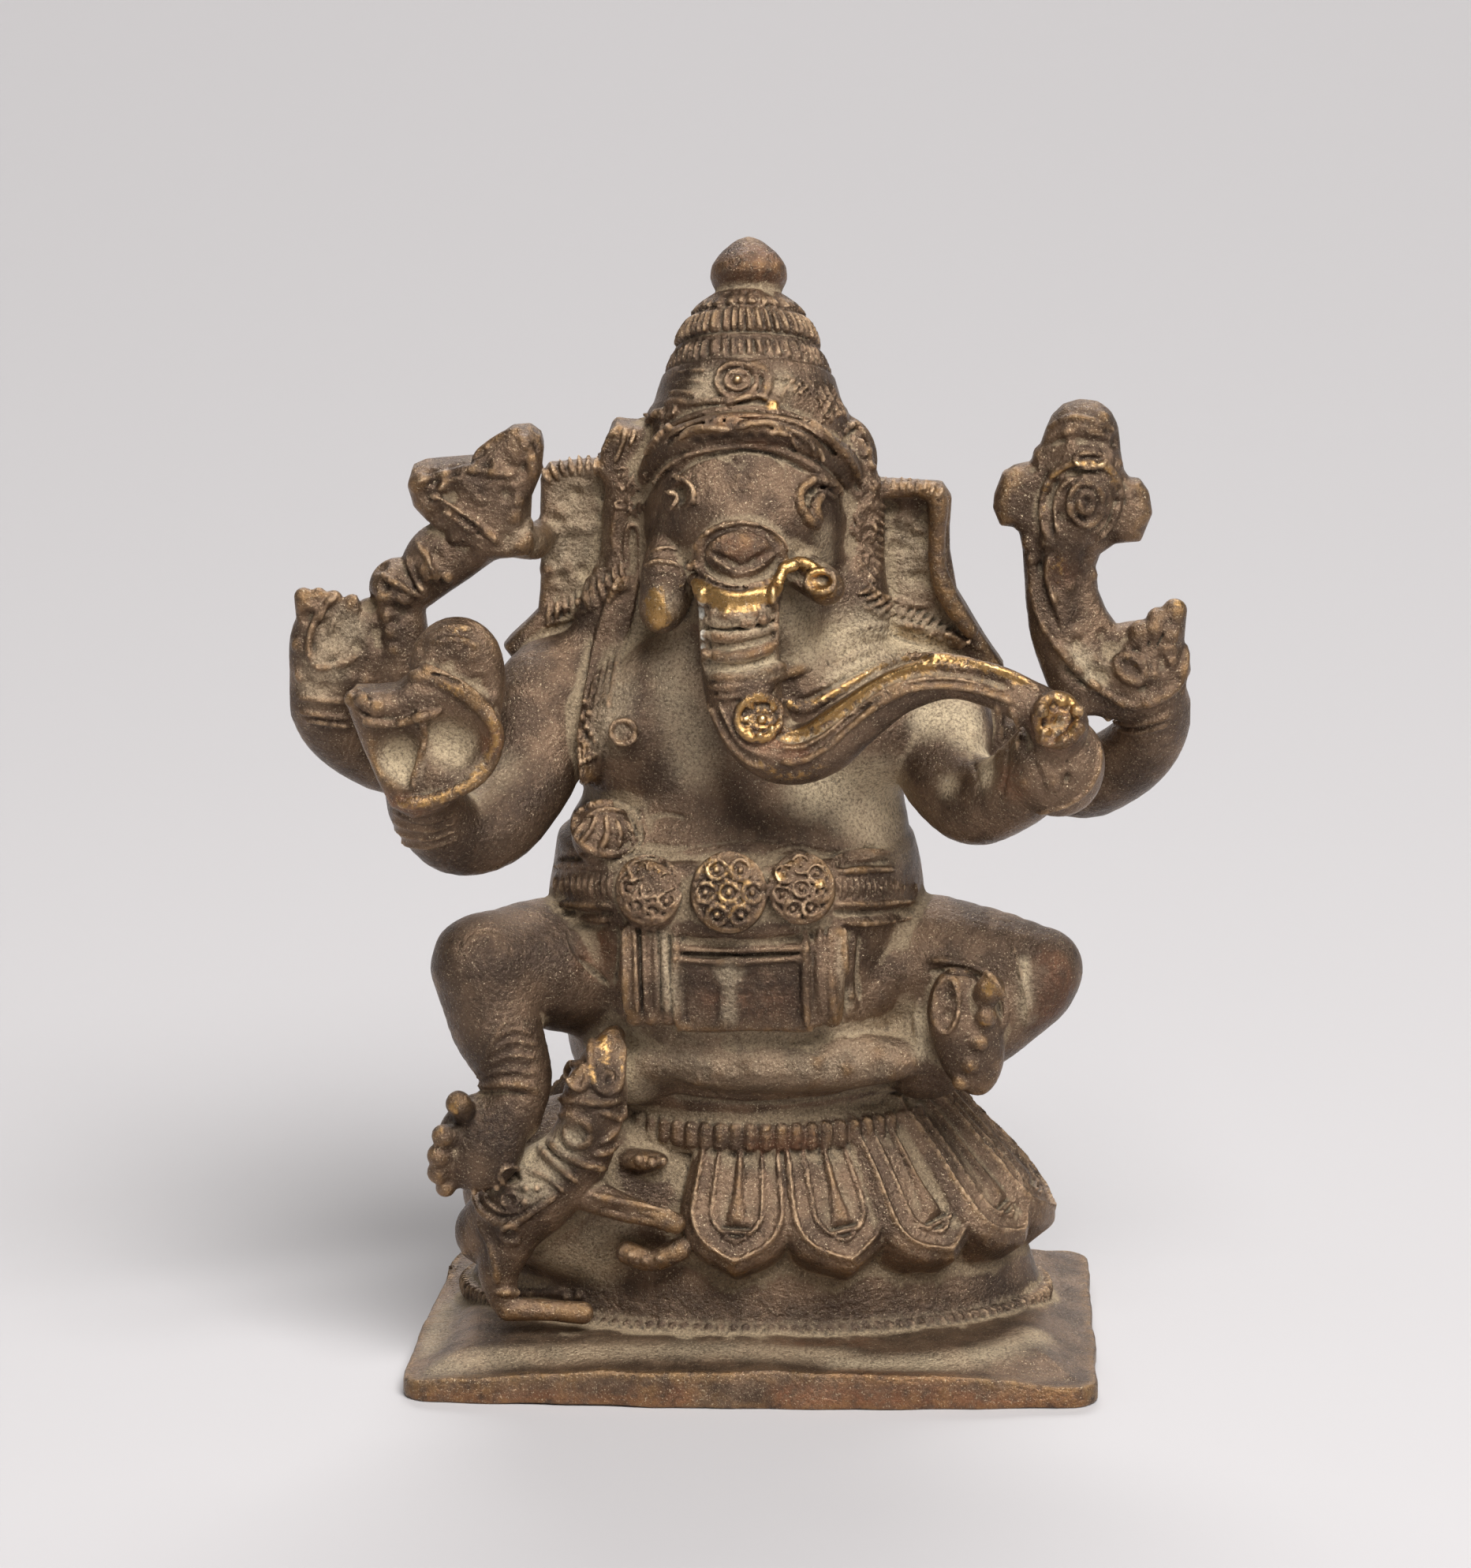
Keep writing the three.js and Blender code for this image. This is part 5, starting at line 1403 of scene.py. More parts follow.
def mouse_lines():
    # Head: two cheeks, an eye each side and the ear ring below
    threads([[
        (-11.5, -15.0), (-11.6, -16.6), (-11.3, -18.3), (-10.4, -18.9), (-9.7, -18.3), (-9.5, -16.8),
        (-9.4, -15.2),
    ]], 0.26, 0.3)
    threads([ring((-12.6, -17.7), 0.62, 0.85, 14, 15)], 0.26, 0.28)
    threads([ring((-10.5, -18.0), 0.4, 0.55, 0, 11)], 0.2, 0.2)
    threads([ring((-12.5, -21.7), 0.85, 0.9, 0, 17)], 0.27, 0.28)
    threads([
        [(-13.9, -19.3), (-12.6, -19.4), (-11.0, -19.6), (-9.6, -19.4)], [(-13.8, -20.4), (-12.6, -20.4)],
        [(-10.9, -20.2), (-9.6, -20.6), (-9.3, -19.8)],
    ], 0.26, 0.28)
    threads([
        [(-10.9, -22.4), (-10.0, -21.6), (-9.6, -20.8)], [(-11.4, -23.2), (-10.4, -23.0), (-9.6, -22.2)],
    ], 0.24, 0.24)
    # Collar and saddle cloth
    threads([
        [(-15.3, -22.6), (-14.4, -23.6), (-13.4, -24.5), (-12.5, -25.3)],
        [(-14.6, -22.2), (-13.5, -23.2), (-12.2, -23.9), (-10.6, -24.2)],
    ], 0.3, 0.32)
    threads([ring((-17.2, -24.8), 0.9, 0.7, -20, 17)], 0.25, 0.26)
    threads([ring((-17.3, -26.4), 0.55, 0.5, 0, 13)], 0.2, 0.22)
    threads([[(-16.4, -24.3), (-15.2, -24.6), (-14.2, -25.2), (-13.4, -26.0)]], 0.26, 0.26)
    threads([[
        (-19.9, -25.7), (-19.5, -27.0), (-18.4, -27.9), (-16.9, -27.9), (-15.4, -27.0), (-14.0, -26.0),
    ]], 0.32, 0.32)
    threads([[
        (-19.2, -25.4), (-18.9, -26.5), (-18.0, -27.2), (-16.8, -27.2), (-15.6, -26.5), (-14.6, -25.8),
    ]], 0.2, 0.22)
    lumps([(-16.2, -25.6), (-15.4, -25.6), (-18.3, -25.5), (-16.3, -26.6)], 0.28, 0.28)
    threads([ring((-17.3, -28.8), 0.65, 0.6, 0, 13)], 0.22, 0.22)
    threads([[(-19.6, -28.2), (-18.8, -29.4), (-18.4, -31.0), (-18.2, -32.4)]], 0.24, 0.2)
    # Fore leg, paws and tail
    threads([[(-11.6, -26.1), (-9.4, -26.6), (-7.4, -27.0), (-5.8, -27.4)]], 0.26, 0.26)
    grooves([[(-11.2, -26.9), (-9.2, -27.4), (-7.2, -27.9)]], 0.2, 0.16)
    lumps([(-8.8, -30.4), (-7.8, -30.7), (-6.8, -30.6)], 0.42, 0.25)
    lumps([(-8.2, -23.6), (-7.3, -23.8), (-6.6, -23.7)], 0.4, 0.3)
    threads([[(-18.2, -33.0), (-16.0, -33.0), (-13.2, -33.0)]], 0.3, 0.24)
    lumps([(-13.3, -33.3), (-12.4, -33.2)], 0.36, 0.26)
    # Tail curled against the drum behind the hind leg
    for reach in (0.6, 1.1, 1.6):
        threads([[
            (-20.4, -31.6 + reach), (-20.9 - 0.45 * reach, -31.4), (-20.7 - 0.3 * reach, -31.6 - reach),
        ]], 0.17, 0.14)


crown_lines()
diadem_lines()
face_lines()
trunk_lines()
ear_lines()
chest_lines()
belt_lines()
apron_lines()
leg_lines()
hand_lines()
emblem_lines()
mouse_lines()


def roughen(wavelength, amplitude):
    """Soft random unevenness of the whole surface."""
    lattice = wavelength / 2
    shape = [int(n * CELL / lattice) + 3 for n in wax.shape]
    values = chance.standard_normal(shape).astype(np.float32)
    values = box_blur(values, 1)
    values /= values.std()
    for axis in range(3):
        place = np.arange(wax.shape[axis]) * CELL / lattice
        base = place.astype(int)
        part_shape = [1, 1, 1]
        part_shape[axis] = -1
        part = (place - base).astype(np.float32).reshape(part_shape)
        values = np.take(values, base, axis=axis) * (1 - part) + np.take(values, base + 1, axis=axis) * part
    wax.d += amplitude * values


roughen(2.4, 0.055)


# From wax to a mesh


class Layer(Wax):
    """Numbers on a coarser grid over the same space."""

    def __init__(self, values, low, cell):
        self.d = values
        self.low = np.array(low, dtype=float)
        self.cell = cell
        self.shape = values.shape


def coarser(values, factor):
    """Means of blocks of cells, factor cells long each way."""
    trimmed = values[tuple(slice(0, n - n % factor) for n in values.shape)]
    shape = []
    for n in trimmed.shape:
        shape += [n // factor, factor]
    return trimmed.reshape(shape).mean(axis=(1, 3, 5))


def recess_layers():
    """How much metal stands round each place, near and far: about half on a flat face, more in a hollow."""
    solid = np.clip(0.5 - wax.d / CELL, 0, 1).astype(np.float32)
    found = {}
    SIZES = dict(fine=0.35, mid=1.0, broad=3.2)
    CELLS_ACROSS = 2.5
    for name, size in SIZES.items():
        factor = max(1, int(size / CELL / CELLS_ACROSS))
        small = coarser(solid, factor) if factor > 1 else solid
        cell = CELL * factor
        reach = max(1, int(round(size / cell / 2)))
        blurred = box_blur(box_blur(small, reach), reach)
        found[name] = Layer(blurred, wax.low + CELL * (factor - 1) / 2, cell)
    return found


def painted(strokes, softness=0.7):
    """A layer of 0 to 1, brushed on the front along the paths of the strokes."""
    PAINT_CELL = 0.35
    SPACING = 0.4
    shape = [int(n * CELL / PAINT_CELL) + 2 for n in wax.shape]
    layer = Layer(np.zeros(shape, dtype=np.float32), wax.low, PAINT_CELL)
    for path, radius, strength in strokes:
        if len(path) > 1:
            path = resample(curve(path, CURVE_STEPS), SPACING)
        points, _, _ = touch(path)
        for point in points:
            slices, (x, y, z) = layer.window(point - radius, point + radius)
            gap = ((x - point[0]) ** 2 + (y - point[1]) ** 2 + (z - point[2]) ** 2) / radius ** 2
            layer.d[slices] = np.maximum(layer.d[slices], strength * np.clip(1 - gap, 0, 1) ** softness)
    return layer


# Colours brushed on the front: each stroke is a path of (a, b), a radius and a strength


GOLD = [
    (
        [
            (-4.2, 17.2), (-3.4, 16.4), (-2.0, 15.8), (-0.5, 15.9), (1.0, 16.6), (1.9, 17.8), (3.0, 18.5),
            (4.2, 18.2),
        ],
        1.0, 1.0,
    ),
    ([(2.2, 6.3), (3.4, 6.6), (5.0, 7.4), (6.6, 8.6), (8.4, 9.9), (10.2, 10.8), (12.2, 11.2)], 0.9, 1.0),
    ([(2.0, 8.6), (5.0, 9.1), (8.4, 11.0), (12.2, 11.9), (16.2, 11.3), (19.0, 10.2)], 0.5, 0.8),
    ([(12.4, 11.0), (15.0, 10.6), (17.6, 9.6)], 0.8, 0.45),
    ([(0.4, 4.4), (1.8, 3.6), (3.4, 3.6), (4.8, 4.4)], 0.8, 0.5), ([(0.2, 7.6)], 2.1, 0.95),
    ([(-7.2, 16.0), (-6.9, 14.6)], 1.2, 0.8), ([(-5.3, 18.0), (-5.3, 17.0)], 0.5, 0.6),
    ([(4.6, 17.0)], 1.2, 1.0), ([(21.3, 7.7)], 2.2, 0.85), ([(22.4, 8.8)], 1.0, 0.8),
    ([(-1.9, -4.7)], 2.7, 0.55), ([(-3.4, -3.0)], 1.2, 0.6), ([(-7.6, -3.4)], 1.2, 0.4),
    ([(4.6, -4.0)], 0.8, 0.6), ([(1.6, -3.6)], 0.9, 0.6), ([(1.1, 29.75)], 0.7, 1.0),
    ([(0.5, 30.9)], 0.5, 0.7), ([(-1.25, 31.75)], 0.5, 0.8), ([(0.3, 30.1)], 0.5, 0.7),
    ([(16.5, -11.5)], 0.7, 0.9), ([(16.1, -14.0)], 0.7, 0.55), ([(15.3, -17.3)], 0.7, 0.5),
    ([(-21.3, -20.0)], 0.7, 0.7), ([(-22.0, -21.4)], 0.7, 0.4),
    ([(-10.8, -15.0), (-10.6, -16.6)], 0.7, 0.7), ([(-9.6, -15.4), (-9.5, -17.6)], 0.4, 0.6),
    ([(-11.6, -17.0), (-11.4, -18.2)], 0.4, 0.8),
    ([(-18.6, 7.6), (-18.5, 6.0), (-19.4, 4.2), (-21.0, 2.8), (-23.0, 2.0), (-25.2, 1.6)], 0.8, 0.5),
    ([(-22.4, 10.0), (-20.6, 9.2)], 0.6, 0.5), ([(-21.0, 13.8)], 0.9, 0.5), ([(-15.6, 27.9)], 0.7, 0.5),
    ([(29.9, 15.9)], 0.8, 0.8), ([(27.6, 15.0)], 0.7, 0.5), ([(26.6, 11.2)], 0.9, 0.5),
    ([(20.3, 22.6), (20.8, 24.4), (22.6, 25.6), (24.8, 25.3), (25.5, 23.6)], 0.5, 0.6),
    ([(21.4, 17.6), (21.2, 19.0)], 0.8, 0.5), ([(-24.6, -40.3), (-21.0, -40.2)], 0.4, 0.35),
    ([(6.0, -39.6), (12.0, -39.9), (18.0, -40.3), (22.6, -40.7)], 0.4, 0.4),
    ([(-6.0, -20.6), (2.0, -21.6), (9.6, -20.2)], 0.9, 0.3), ([(-1.0, -31.6)], 0.8, 0.5),
    ([(7.3, -31.0)], 0.8, 0.45), ([(2.0, -29.6)], 0.5, 0.4), ([(-4.0, 34.8), (-1.6, 35.0)], 0.5, 0.5),
]
RED = [
    ([(-5.0, -40.6), (-16.0, -40.8), (-24.0, -40.7)], 1.2, 0.8),
    ([(2.0, -40.6), (12.0, -40.8), (22.5, -41.0)], 1.4, 0.9), ([(6.0, -38.6), (14.0, -38.9)], 1.2, 0.5),
    ([(20.8, -9.8), (21.6, -11.6), (20.6, -13.2)], 1.6, 0.8), ([(-0.2, 6.0), (3.0, 5.2)], 1.0, 0.5),
    ([(-3.0, -12.0), (1.6, -12.6)], 1.8, 0.5), ([(0.0, 29.0), (-2.6, 28.7)], 0.6, 0.6),
    ([(-26.0, 2.0), (-24.0, 1.0)], 1.0, 0.7), ([(-18.6, 6.0)], 1.4, 0.6), ([(21.6, 18.0)], 1.4, 0.5),
    ([(1.4, 27.0), (0.0, 27.2)], 0.5, 0.6), ([(-13.0, 22.0), (-12.4, 17.0)], 2.4, 0.3),
    ([(-3.4, 15.0), (1.4, 14.6), (-3.4, 13.0), (1.4, 12.6)], 1.0, 0.4),
    ([(-2.8, 39.6), (1.8, 39.8)], 2.2, 0.45), ([(-2.0, 19.8), (0.0, 19.8)], 1.2, 0.35),
    ([(-11.0, -8.4), (-11.6, -9.4)], 1.6, 0.4), ([(2.0, -36.6), (8.0, -36.4)], 0.9, 0.6),
    ([(0.0, -22.6), (4.0, -22.4)], 1.0, 0.5), ([(21.2, 7.0)], 2.2, 0.4), ([(18.0, 3.0)], 1.6, 0.5),
]
# Dark patina brushed on the front, partly painted shade: the strokes under the trunk, between the diadem's
# ridges and under the crown's middle tier of ribs paint shade
PATINA_AND_SHADE = [
    ([(-4.0, -11.2), (2.4, -11.2)], 2.2, 0.9), ([(-4.0, -13.2), (2.4, -13.2)], 1.5, 0.9),
    ([(-25.0, -40.9), (0.0, -41.5), (23.0, -41.3)], 1.5, 1.0), ([(20.4, -10.0), (21.0, -13.0)], 2.8, 0.7),
    ([(-8.0, 8.0), (-6.0, 3.0), (-2.0, 0.0), (5.0, -0.4)], 2.2, 0.5),
    # The first stroke on this line is painted shade under the trunk
    ([(4.0, 3.4), (9.0, 6.4), (14.0, 8.4)], 0.8, 0.6), ([(-19.0, -13.0), (-18.6, -16.4)], 2.6, 0.6),
    ([(-23.0, -2.4), (-20.0, -4.6)], 2.2, 0.7), ([(-5.4, 22.0), (-5.6, 19.6)], 1.3, 0.5),
    ([(4.6, 24.8), (5.8, 22.0), (5.6, 17.8)], 0.9, 0.6),
    ([(-18.6, -10.6), (-17.0, -8.8), (-13.6, -8.0)], 2.4, 0.8),
    ([(-20.2, -20.8), (-18.0, -21.8), (-17.0, -23.6)], 2.6, 1.0), ([(-1.8, 39.4)], 2.0, 0.6),
    ([(-21.0, -3.0), (-17.4, 0.4), (-15.6, 3.4)], 2.2, 0.7), ([(10.6, -9.6), (17.0, -9.0)], 1.6, 0.35),
    ([(-13.4, 23.4), (-12.4, 19.0), (-12.0, 15.6)], 2.2, 0.5),
    # These two strokes are painted shade: between the diadem's ridges, and under the crown's middle tier of
    # ribs
    ([(-4.4, 27.3), (-1.0, 27.6), (1.4, 27.2)], 0.5, 1.0),
    ([(-4.0, 34.35), (-0.4, 34.45), (4.2, 34.1)], 0.4, 0.8),
    ([(-17.6, -27.0), (-14.0, -24.6), (-11.0, -19.6), (-10.4, -17.6)], 1.6, 0.75),
    ([(-9.6, -24.6), (-5.6, -26.6)], 0.9, 0.7), ([(-9.4, -28.6), (-6.0, -29.4)], 0.8, 0.6),
    ([(-15.6, -33.0), (-10.6, -33.8)], 0.8, 0.6), ([(20.6, 15.0), (20.8, 20.0)], 1.5, 0.6),
    ([(22.6, 19.6), (22.2, 15.0)], 1.2, 0.6),
    ([(-14.0, -33.4), (0.0, -34.6), (12.0, -34.4), (18.0, -33.0)], 1.9, 0.8),
    ([(-20.6, 24.6), (-17.0, 22.4)], 1.6, 0.5), ([(-25.4, 13.6), (-24.6, 17.6)], 1.4, 0.5),
    ([(-30.4, 13.4)], 1.8, 0.5), ([(26.6, 11.6)], 1.8, 0.5),
    ([(28.0, 4.0), (24.0, -0.6), (20.0, -3.0)], 2.2, 0.6), ([(-30.8, 6.0), (-28.0, 1.0)], 1.8, 0.6),
    ([(3.6, 27.4), (5.4, 25.8), (6.4, 24.0)], 0.6, 0.8), ([(-18.0, -26.6), (-19.0, -30.0)], 1.6, 0.6),
]
DUST = [
    ([(-6.0, -16.6), (0.0, -17.0), (8.0, -16.2)], 2.4, 0.2), ([(-8.6, -15.6), (-8.6, -19.0)], 1.4, 0.5),
    ([(-12.6, 23.0), (-12.6, 17.6)], 2.0, 0.45), ([(-9.2, 12.0), (-10.6, 6.0)], 1.2, 0.35),
    ([(-6.4, 14.6), (-5.6, 10.6), (-4.2, 4.6)], 1.6, 0.5), ([(-15.6, -25.2), (-13.4, -22.0)], 1.2, 0.6),
    ([(-31.0, 10.0), (-29.0, 14.0)], 1.4, 0.4), ([(8.2, 3.0), (9.4, 0.0)], 2.4, 0.6),
    ([(-1.9, -10.3)], 0.9, 0.5), ([(-1.85, -11.4), (-1.85, -14.0)], 0.5, 0.4),
    ([(16.4, 3.6), (16.3, 5.0)], 0.9, 1.0), ([(13.6, 2.9)], 0.8, 0.9),
    ([(6.0, 13.2), (8.6, 13.4), (11.6, 13.0)], 1.8, 0.8), ([(7.6, 11.2), (6.0, 10.6)], 1.2, 0.8),
    ([(3.2, 14.6), (3.6, 12.6)], 1.4, 0.8), ([(4.0, 2.6), (8.0, 3.4), (9.6, 1.0)], 1.8, 1.0),
    ([(6.6, 1.2), (8.6, -0.6)], 1.6, 0.7), ([(4.8, 20.6), (5.0, 18.4)], 0.9, 0.5),
    ([(-3.2, 14.0), (0.8, 14.2)], 1.3, 0.7), ([(-3.0, 11.4), (1.2, 11.6)], 0.9, 0.8),
    ([(-22.0, -38.2), (-16.0, -37.4), (-4.0, -37.0), (6.0, -37.4)], 1.4, 0.45),
    ([(6.0, -38.0), (14.0, -37.8), (20.0, -36.0)], 1.2, 0.6),
    ([(-22.0, -34.0), (-23.0, -37.0)], 1.2, 0.4), ([(-16.0, 20.0), (-12.4, 17.0)], 1.6, 0.4),
    ([(-25.2, 4.6)], 1.6, 0.8), ([(-21.6, 6.0)], 1.8, 0.55), ([(11.0, 20.0), (11.0, 17.6)], 1.8, 0.4),
    ([(12.6, 7.8), (14.4, 8.0), (15.0, 6.6)], 1.6, 0.9), ([(-20.0, 2.4), (-18.2, 4.0)], 1.4, 0.3),
    ([(-3.6, 31.0)], 1.2, 0.55), ([(2.0, 31.2)], 0.9, 0.55), ([(-16.0, -23.6), (-15.2, -22.2)], 1.0, 0.7),
    ([(19.0, -9.6), (19.1, -13.8)], 0.35, 1.0), ([(-6.3, -8.0), (-6.0, -12.6)], 0.6, 0.7),
    ([(6.4, -8.0), (6.3, -12.8)], 0.5, 0.8), ([(11.4, -13.0), (11.7, -16.0)], 0.6, 0.8),
    ([(-14.0, -30.6), (-11.0, -31.0)], 1.6, 0.6), ([(-10.0, -28.4), (-12.0, -30.0)], 1.4, 0.5),
    ([(22.6, 11.8), (24.0, 10.8)], 0.9, 0.7), ([(8.4, 13.9), (12.0, 13.6)], 1.0, 0.7),
]
CHALK = [
    ([(-3.9, 15.7), (-3.85, 14.9)], 0.42, 1.0), ([(-3.85, 13.8), (-3.75, 12.7)], 0.4, 1.0),
    ([(-4.9, 14.9)], 0.3, 0.8), ([(13.6, 3.1)], 0.35, 0.8), ([(16.3, 4.0)], 0.4, 0.5),
]


def surface(distances, triangles):
    """A closed mesh of the zero surface, with its faces thinned out to a number of triangles."""
    band = np.ascontiguousarray(np.clip(distances, -FAR, FAR), dtype=np.float32)
    grid = openvdb.FloatGrid(FAR)
    grid.copyFromArray(band)
    points, tris, quads = grid.convertToPolygons(isovalue=0.0, adaptivity=0.0)
    points = points * CELL + wax.low
    mesh = bpy.data.meshes.new("casting")
    faces = quads.tolist() + tris.tolist()
    mesh.from_pydata(points.tolist(), [], faces)
    piece = bpy.data.objects.new("casting", mesh)
    bpy.context.scene.collection.objects.link(piece)
    count = len(quads) * 2 + len(tris)
    thin = piece.modifiers.new("thin", "DECIMATE")
    thin.ratio = min(1.0, triangles / count)
    thin.use_collapse_triangulate = True
    depsgraph = bpy.context.evaluated_depsgraph_get()
    thinned = bpy.data.meshes.new_from_object(piece.evaluated_get(depsgraph))
    piece.modifiers.clear()
    piece.data = thinned
    bpy.data.meshes.remove(mesh)
    return piece


layers = recess_layers()
layers["gold"] = painted(GOLD)
layers["red"] = painted(RED)
layers["chalk"] = painted(CHALK)
# Dark patina, partly painted shade
layers["patina_and_shade"] = painted(PATINA_AND_SHADE)
layers["sand"] = painted([(path, 1.5 * radius, strength) for path, radius, strength in DUST], 1.3)
figure = surface(wax.d, TRIANGLES)
figure.name = "ganesha_casting"


def vertex_values(piece, name):
    """Three numbers for each vertex: its place with "co" or its direction with "normal"."""
    values = np.empty(len(piece.data.vertices) * 3)
    piece.data.vertices.foreach_get(name, values)
    return values.reshape(-1, 3)


def set_normals(piece):
    """Gives each vertex the slope of the wax itself, so that thinned faces shade as finely as the grid."""
    places = vertex_values(piece, "co") / MM
    normals = wax.normals(places, 0.75 * CELL)
    piece.data.normals_split_custom_set_from_vertices(normals.tolist())


def finish_piece(piece):
    """Masks for the material at each vertex, then metres and the frame's own words about the piece."""
    places = vertex_values(piece, "co")
    upward = vertex_values(piece, "normal")[:, 2]
    at = {name: layer.sample(places) for name, layer in layers.items()}
    fine, mid, broad, patina_and_shade = at["fine"], at["mid"], at["broad"], at["patina_and_shade"]
    hollow = ramp(mid, 0.50, 0.64)
    ridge = ramp(-mid, -0.44, -0.34)
    rubbed = 0.55 + 0.45 * ramp(-mid, -0.52, -0.40)
    lying = ramp(upward, 0.0, 0.9)
    under = ramp(-upward, 0.1, 0.8)
    dust = 0.75 * hollow + 0.35 * ramp(broad, 0.50, 0.66) + 0.15 * lying - 0.4 * under
    clean = 1 - 0.75 * patina_and_shade
    fields = {
        "dust": np.clip(dust, 0, 1) * clean,
        "sand": np.clip(at["sand"] * (1 - 0.9 * ridge) + 0.2 * hollow * lying * clean, 0, 1),
        # Sharp edges: worn metal, paler and glossier, partly a painted glint
        "worn_glint": ramp(-fine, -0.38, -0.28),
        "warm": 0.8 * ramp(-mid, -0.44, -0.30) * clean,
        "gold": at["gold"] * rubbed,
        "red": at["red"],
        # Dark patina, in a few places painted shade
        "patina_and_shade": patina_and_shade,
        "chalk": at["chalk"],
        # Painted shade: the finest creases
        "crevice_shade": ramp(fine, 0.57, 0.70),
    }
    for name, values in fields.items():
        attribute = piece.data.attributes.new(name, "FLOAT", "POINT")
        attribute.data.foreach_set("value", values.astype(np.float32))
    inside = np.clip(places, CAD_LOW, CAD_HIGH) * MM
    piece.data.vertices.foreach_set("co", inside.ravel())
    piece.data.polygons.foreach_set("use_smooth", np.ones(len(piece.data.polygons), dtype=bool))
    piece.data.update()
    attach(piece, "root")
    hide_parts("ganesha_figure")


finish_piece(figure)
set_normals(figure)


# The bronze: brown metal, dust in the hollows and rubbed golden places


def bronze_material():
    """Brown metal in clouds, with dust, rubbed gold and chalk where the masks of the vertices say, dark
    patina that is painted shade in a few places, painted shade in the finest creases and painted glints on
    sharp edges.
    """
    material = bpy.data.materials.new("patinated_bronze")
    material.use_nodes = True
    nodes = material.node_tree.nodes
    links = material.node_tree.links
    shader = nodes["Principled BSDF"]
    where = nodes.new("ShaderNodeTexCoord").outputs["Object"]

    def feed(socket, value):
        if isinstance(value, tuple):
            socket.default_value = (*value, 1)
        elif isinstance(value, (int, float)):
            socket.default_value = value
        else:
            links.new(value, socket)

    def attribute(name):
        node = nodes.new("ShaderNodeAttribute")
        node.attribute_name = name
        return node.outputs["Fac"]

    def noise(size, detail=3.0, rough=0.55):
        """Soft random values with features of a size in millimetres."""
        node = nodes.new("ShaderNodeTexNoise")
        node.inputs["Scale"].default_value = 1 / (size * MM)
        node.inputs["Detail"].default_value = detail
        node.inputs["Roughness"].default_value = rough
        links.new(where, node.inputs["Vector"])
        return node.outputs["Fac"]

    def math_node(operation, first, second):
        node = nodes.new("ShaderNodeMath")
        node.operation = operation
        feed(node.inputs[0], first)
        feed(node.inputs[1], second)
        return node.outputs["Value"]

    def times(first, second):
        return math_node("MULTIPLY", first, second)

    def ramped(value, start, end):
        node = nodes.new("ShaderNodeMapRange")
        node.interpolation_type = "SMOOTHSTEP"
        node.inputs["From Min"].default_value = start
        node.inputs["From Max"].default_value = end
        links.new(value, node.inputs["Value"])
        return node.outputs["Result"]

    def mixed(kind, inputs, output, values):
        node = nodes.new("ShaderNodeMix")
        node.data_type = kind
        for socket, value in zip(inputs, values):
            feed(node.inputs[socket], value)
        return node.outputs[output]

    def mix(share, first, second):
        """Two colours mixed."""
        return mixed("RGBA", (0, 6, 7), 2, (share, first, second))

    def blend(share, first, second):
        """Two numbers mixed."""
        return mixed("FLOAT", (0, 2, 3), 0, (share, first, second))

    def broken(value, texture, amount):
        """A mask whose edge is broken up by a texture."""
        shifted = math_node("ADD", value, times(math_node("SUBTRACT", texture, 0.5), amount))
        return ramped(shifted, 0.3, 0.7)

    RELIEF_DEPTH = 0.17 * MM
    DARK = (0.100, 0.063, 0.041)
    BROWN = (0.202, 0.128, 0.080)
    # Near black: dark patina, painted shade in a few places, and dark grain
    NIGHT = (0.042, 0.027, 0.019)
    REDDISH = (0.260, 0.110, 0.055)
    GOLDEN = (0.340, 0.195, 0.080)
    DUSTY = (0.315, 0.232, 0.140)
    SAND = (0.700, 0.560, 0.365)
    # Pale edge colour: wear and a painted glint
    WORN_GLINT = (0.660, 0.460, 0.290)
    BRASS = (0.420, 0.245, 0.090)
    # Brass as a painted highlight for its sharp edges
    BRIGHT_BRASS_GLINT = (0.940, 0.680, 0.360)
    # Painted shade for the finest creases
    SHADE_BLACK = (0.022, 0.015, 0.011)
    WHITE = (0.780, 0.750, 0.660)

    cloud = noise(3.2)
    blot = noise(0.9)
    lump = noise(0.45, 3.0, 0.6)
    grain = noise(0.2, 5.0, 0.7)
    speck = noise(0.13, 1.0)
    speckled = ramped(grain, 0.36, 0.62)

    colour = mix(ramped(cloud, 0.38, 0.62), DARK, BROWN)
    # Dark patina, which in a few places is painted shade
    patina_and_shade = times(attribute("patina_and_shade"), blend(ramped(lump, 0.3, 0.6), 0.55, 1.0))
    colour = mix(times(attribute("red"), ramped(blot, 0.25, 0.6)), colour, REDDISH)
    colour = mix(patina_and_shade, colour, NIGHT)
    warm = times(attribute("warm"), ramped(blot, 0.3, 0.7))
    colour = mix(times(warm, 0.8), colour, GOLDEN)
    dust = times(broken(attribute("dust"), blot, 0.5), blend(speckled, 0.5, 0.95))
    colour = mix(dust, colour, DUSTY)
    sand = times(attribute("sand"), blend(speckled, 0.45, 1.0))
    colour = mix(sand, colour, SAND)
    # Sharp edges turn paler: worn metal, with a painted glint
    worn_glint = times(attribute("worn_glint"), ramped(blot, 0.3, 0.65))
    colour = mix(times(worn_glint, 0.7), colour, WORN_GLINT)
    gold = times(broken(attribute("gold"), lump, 1.2), ramped(blot, 0.22, 0.42))
    # Rubbed gold, which on sharp edges turns to a painted brass highlight
    colour = mix(gold, colour, mix(worn_glint, BRASS, BRIGHT_BRASS_GLINT))
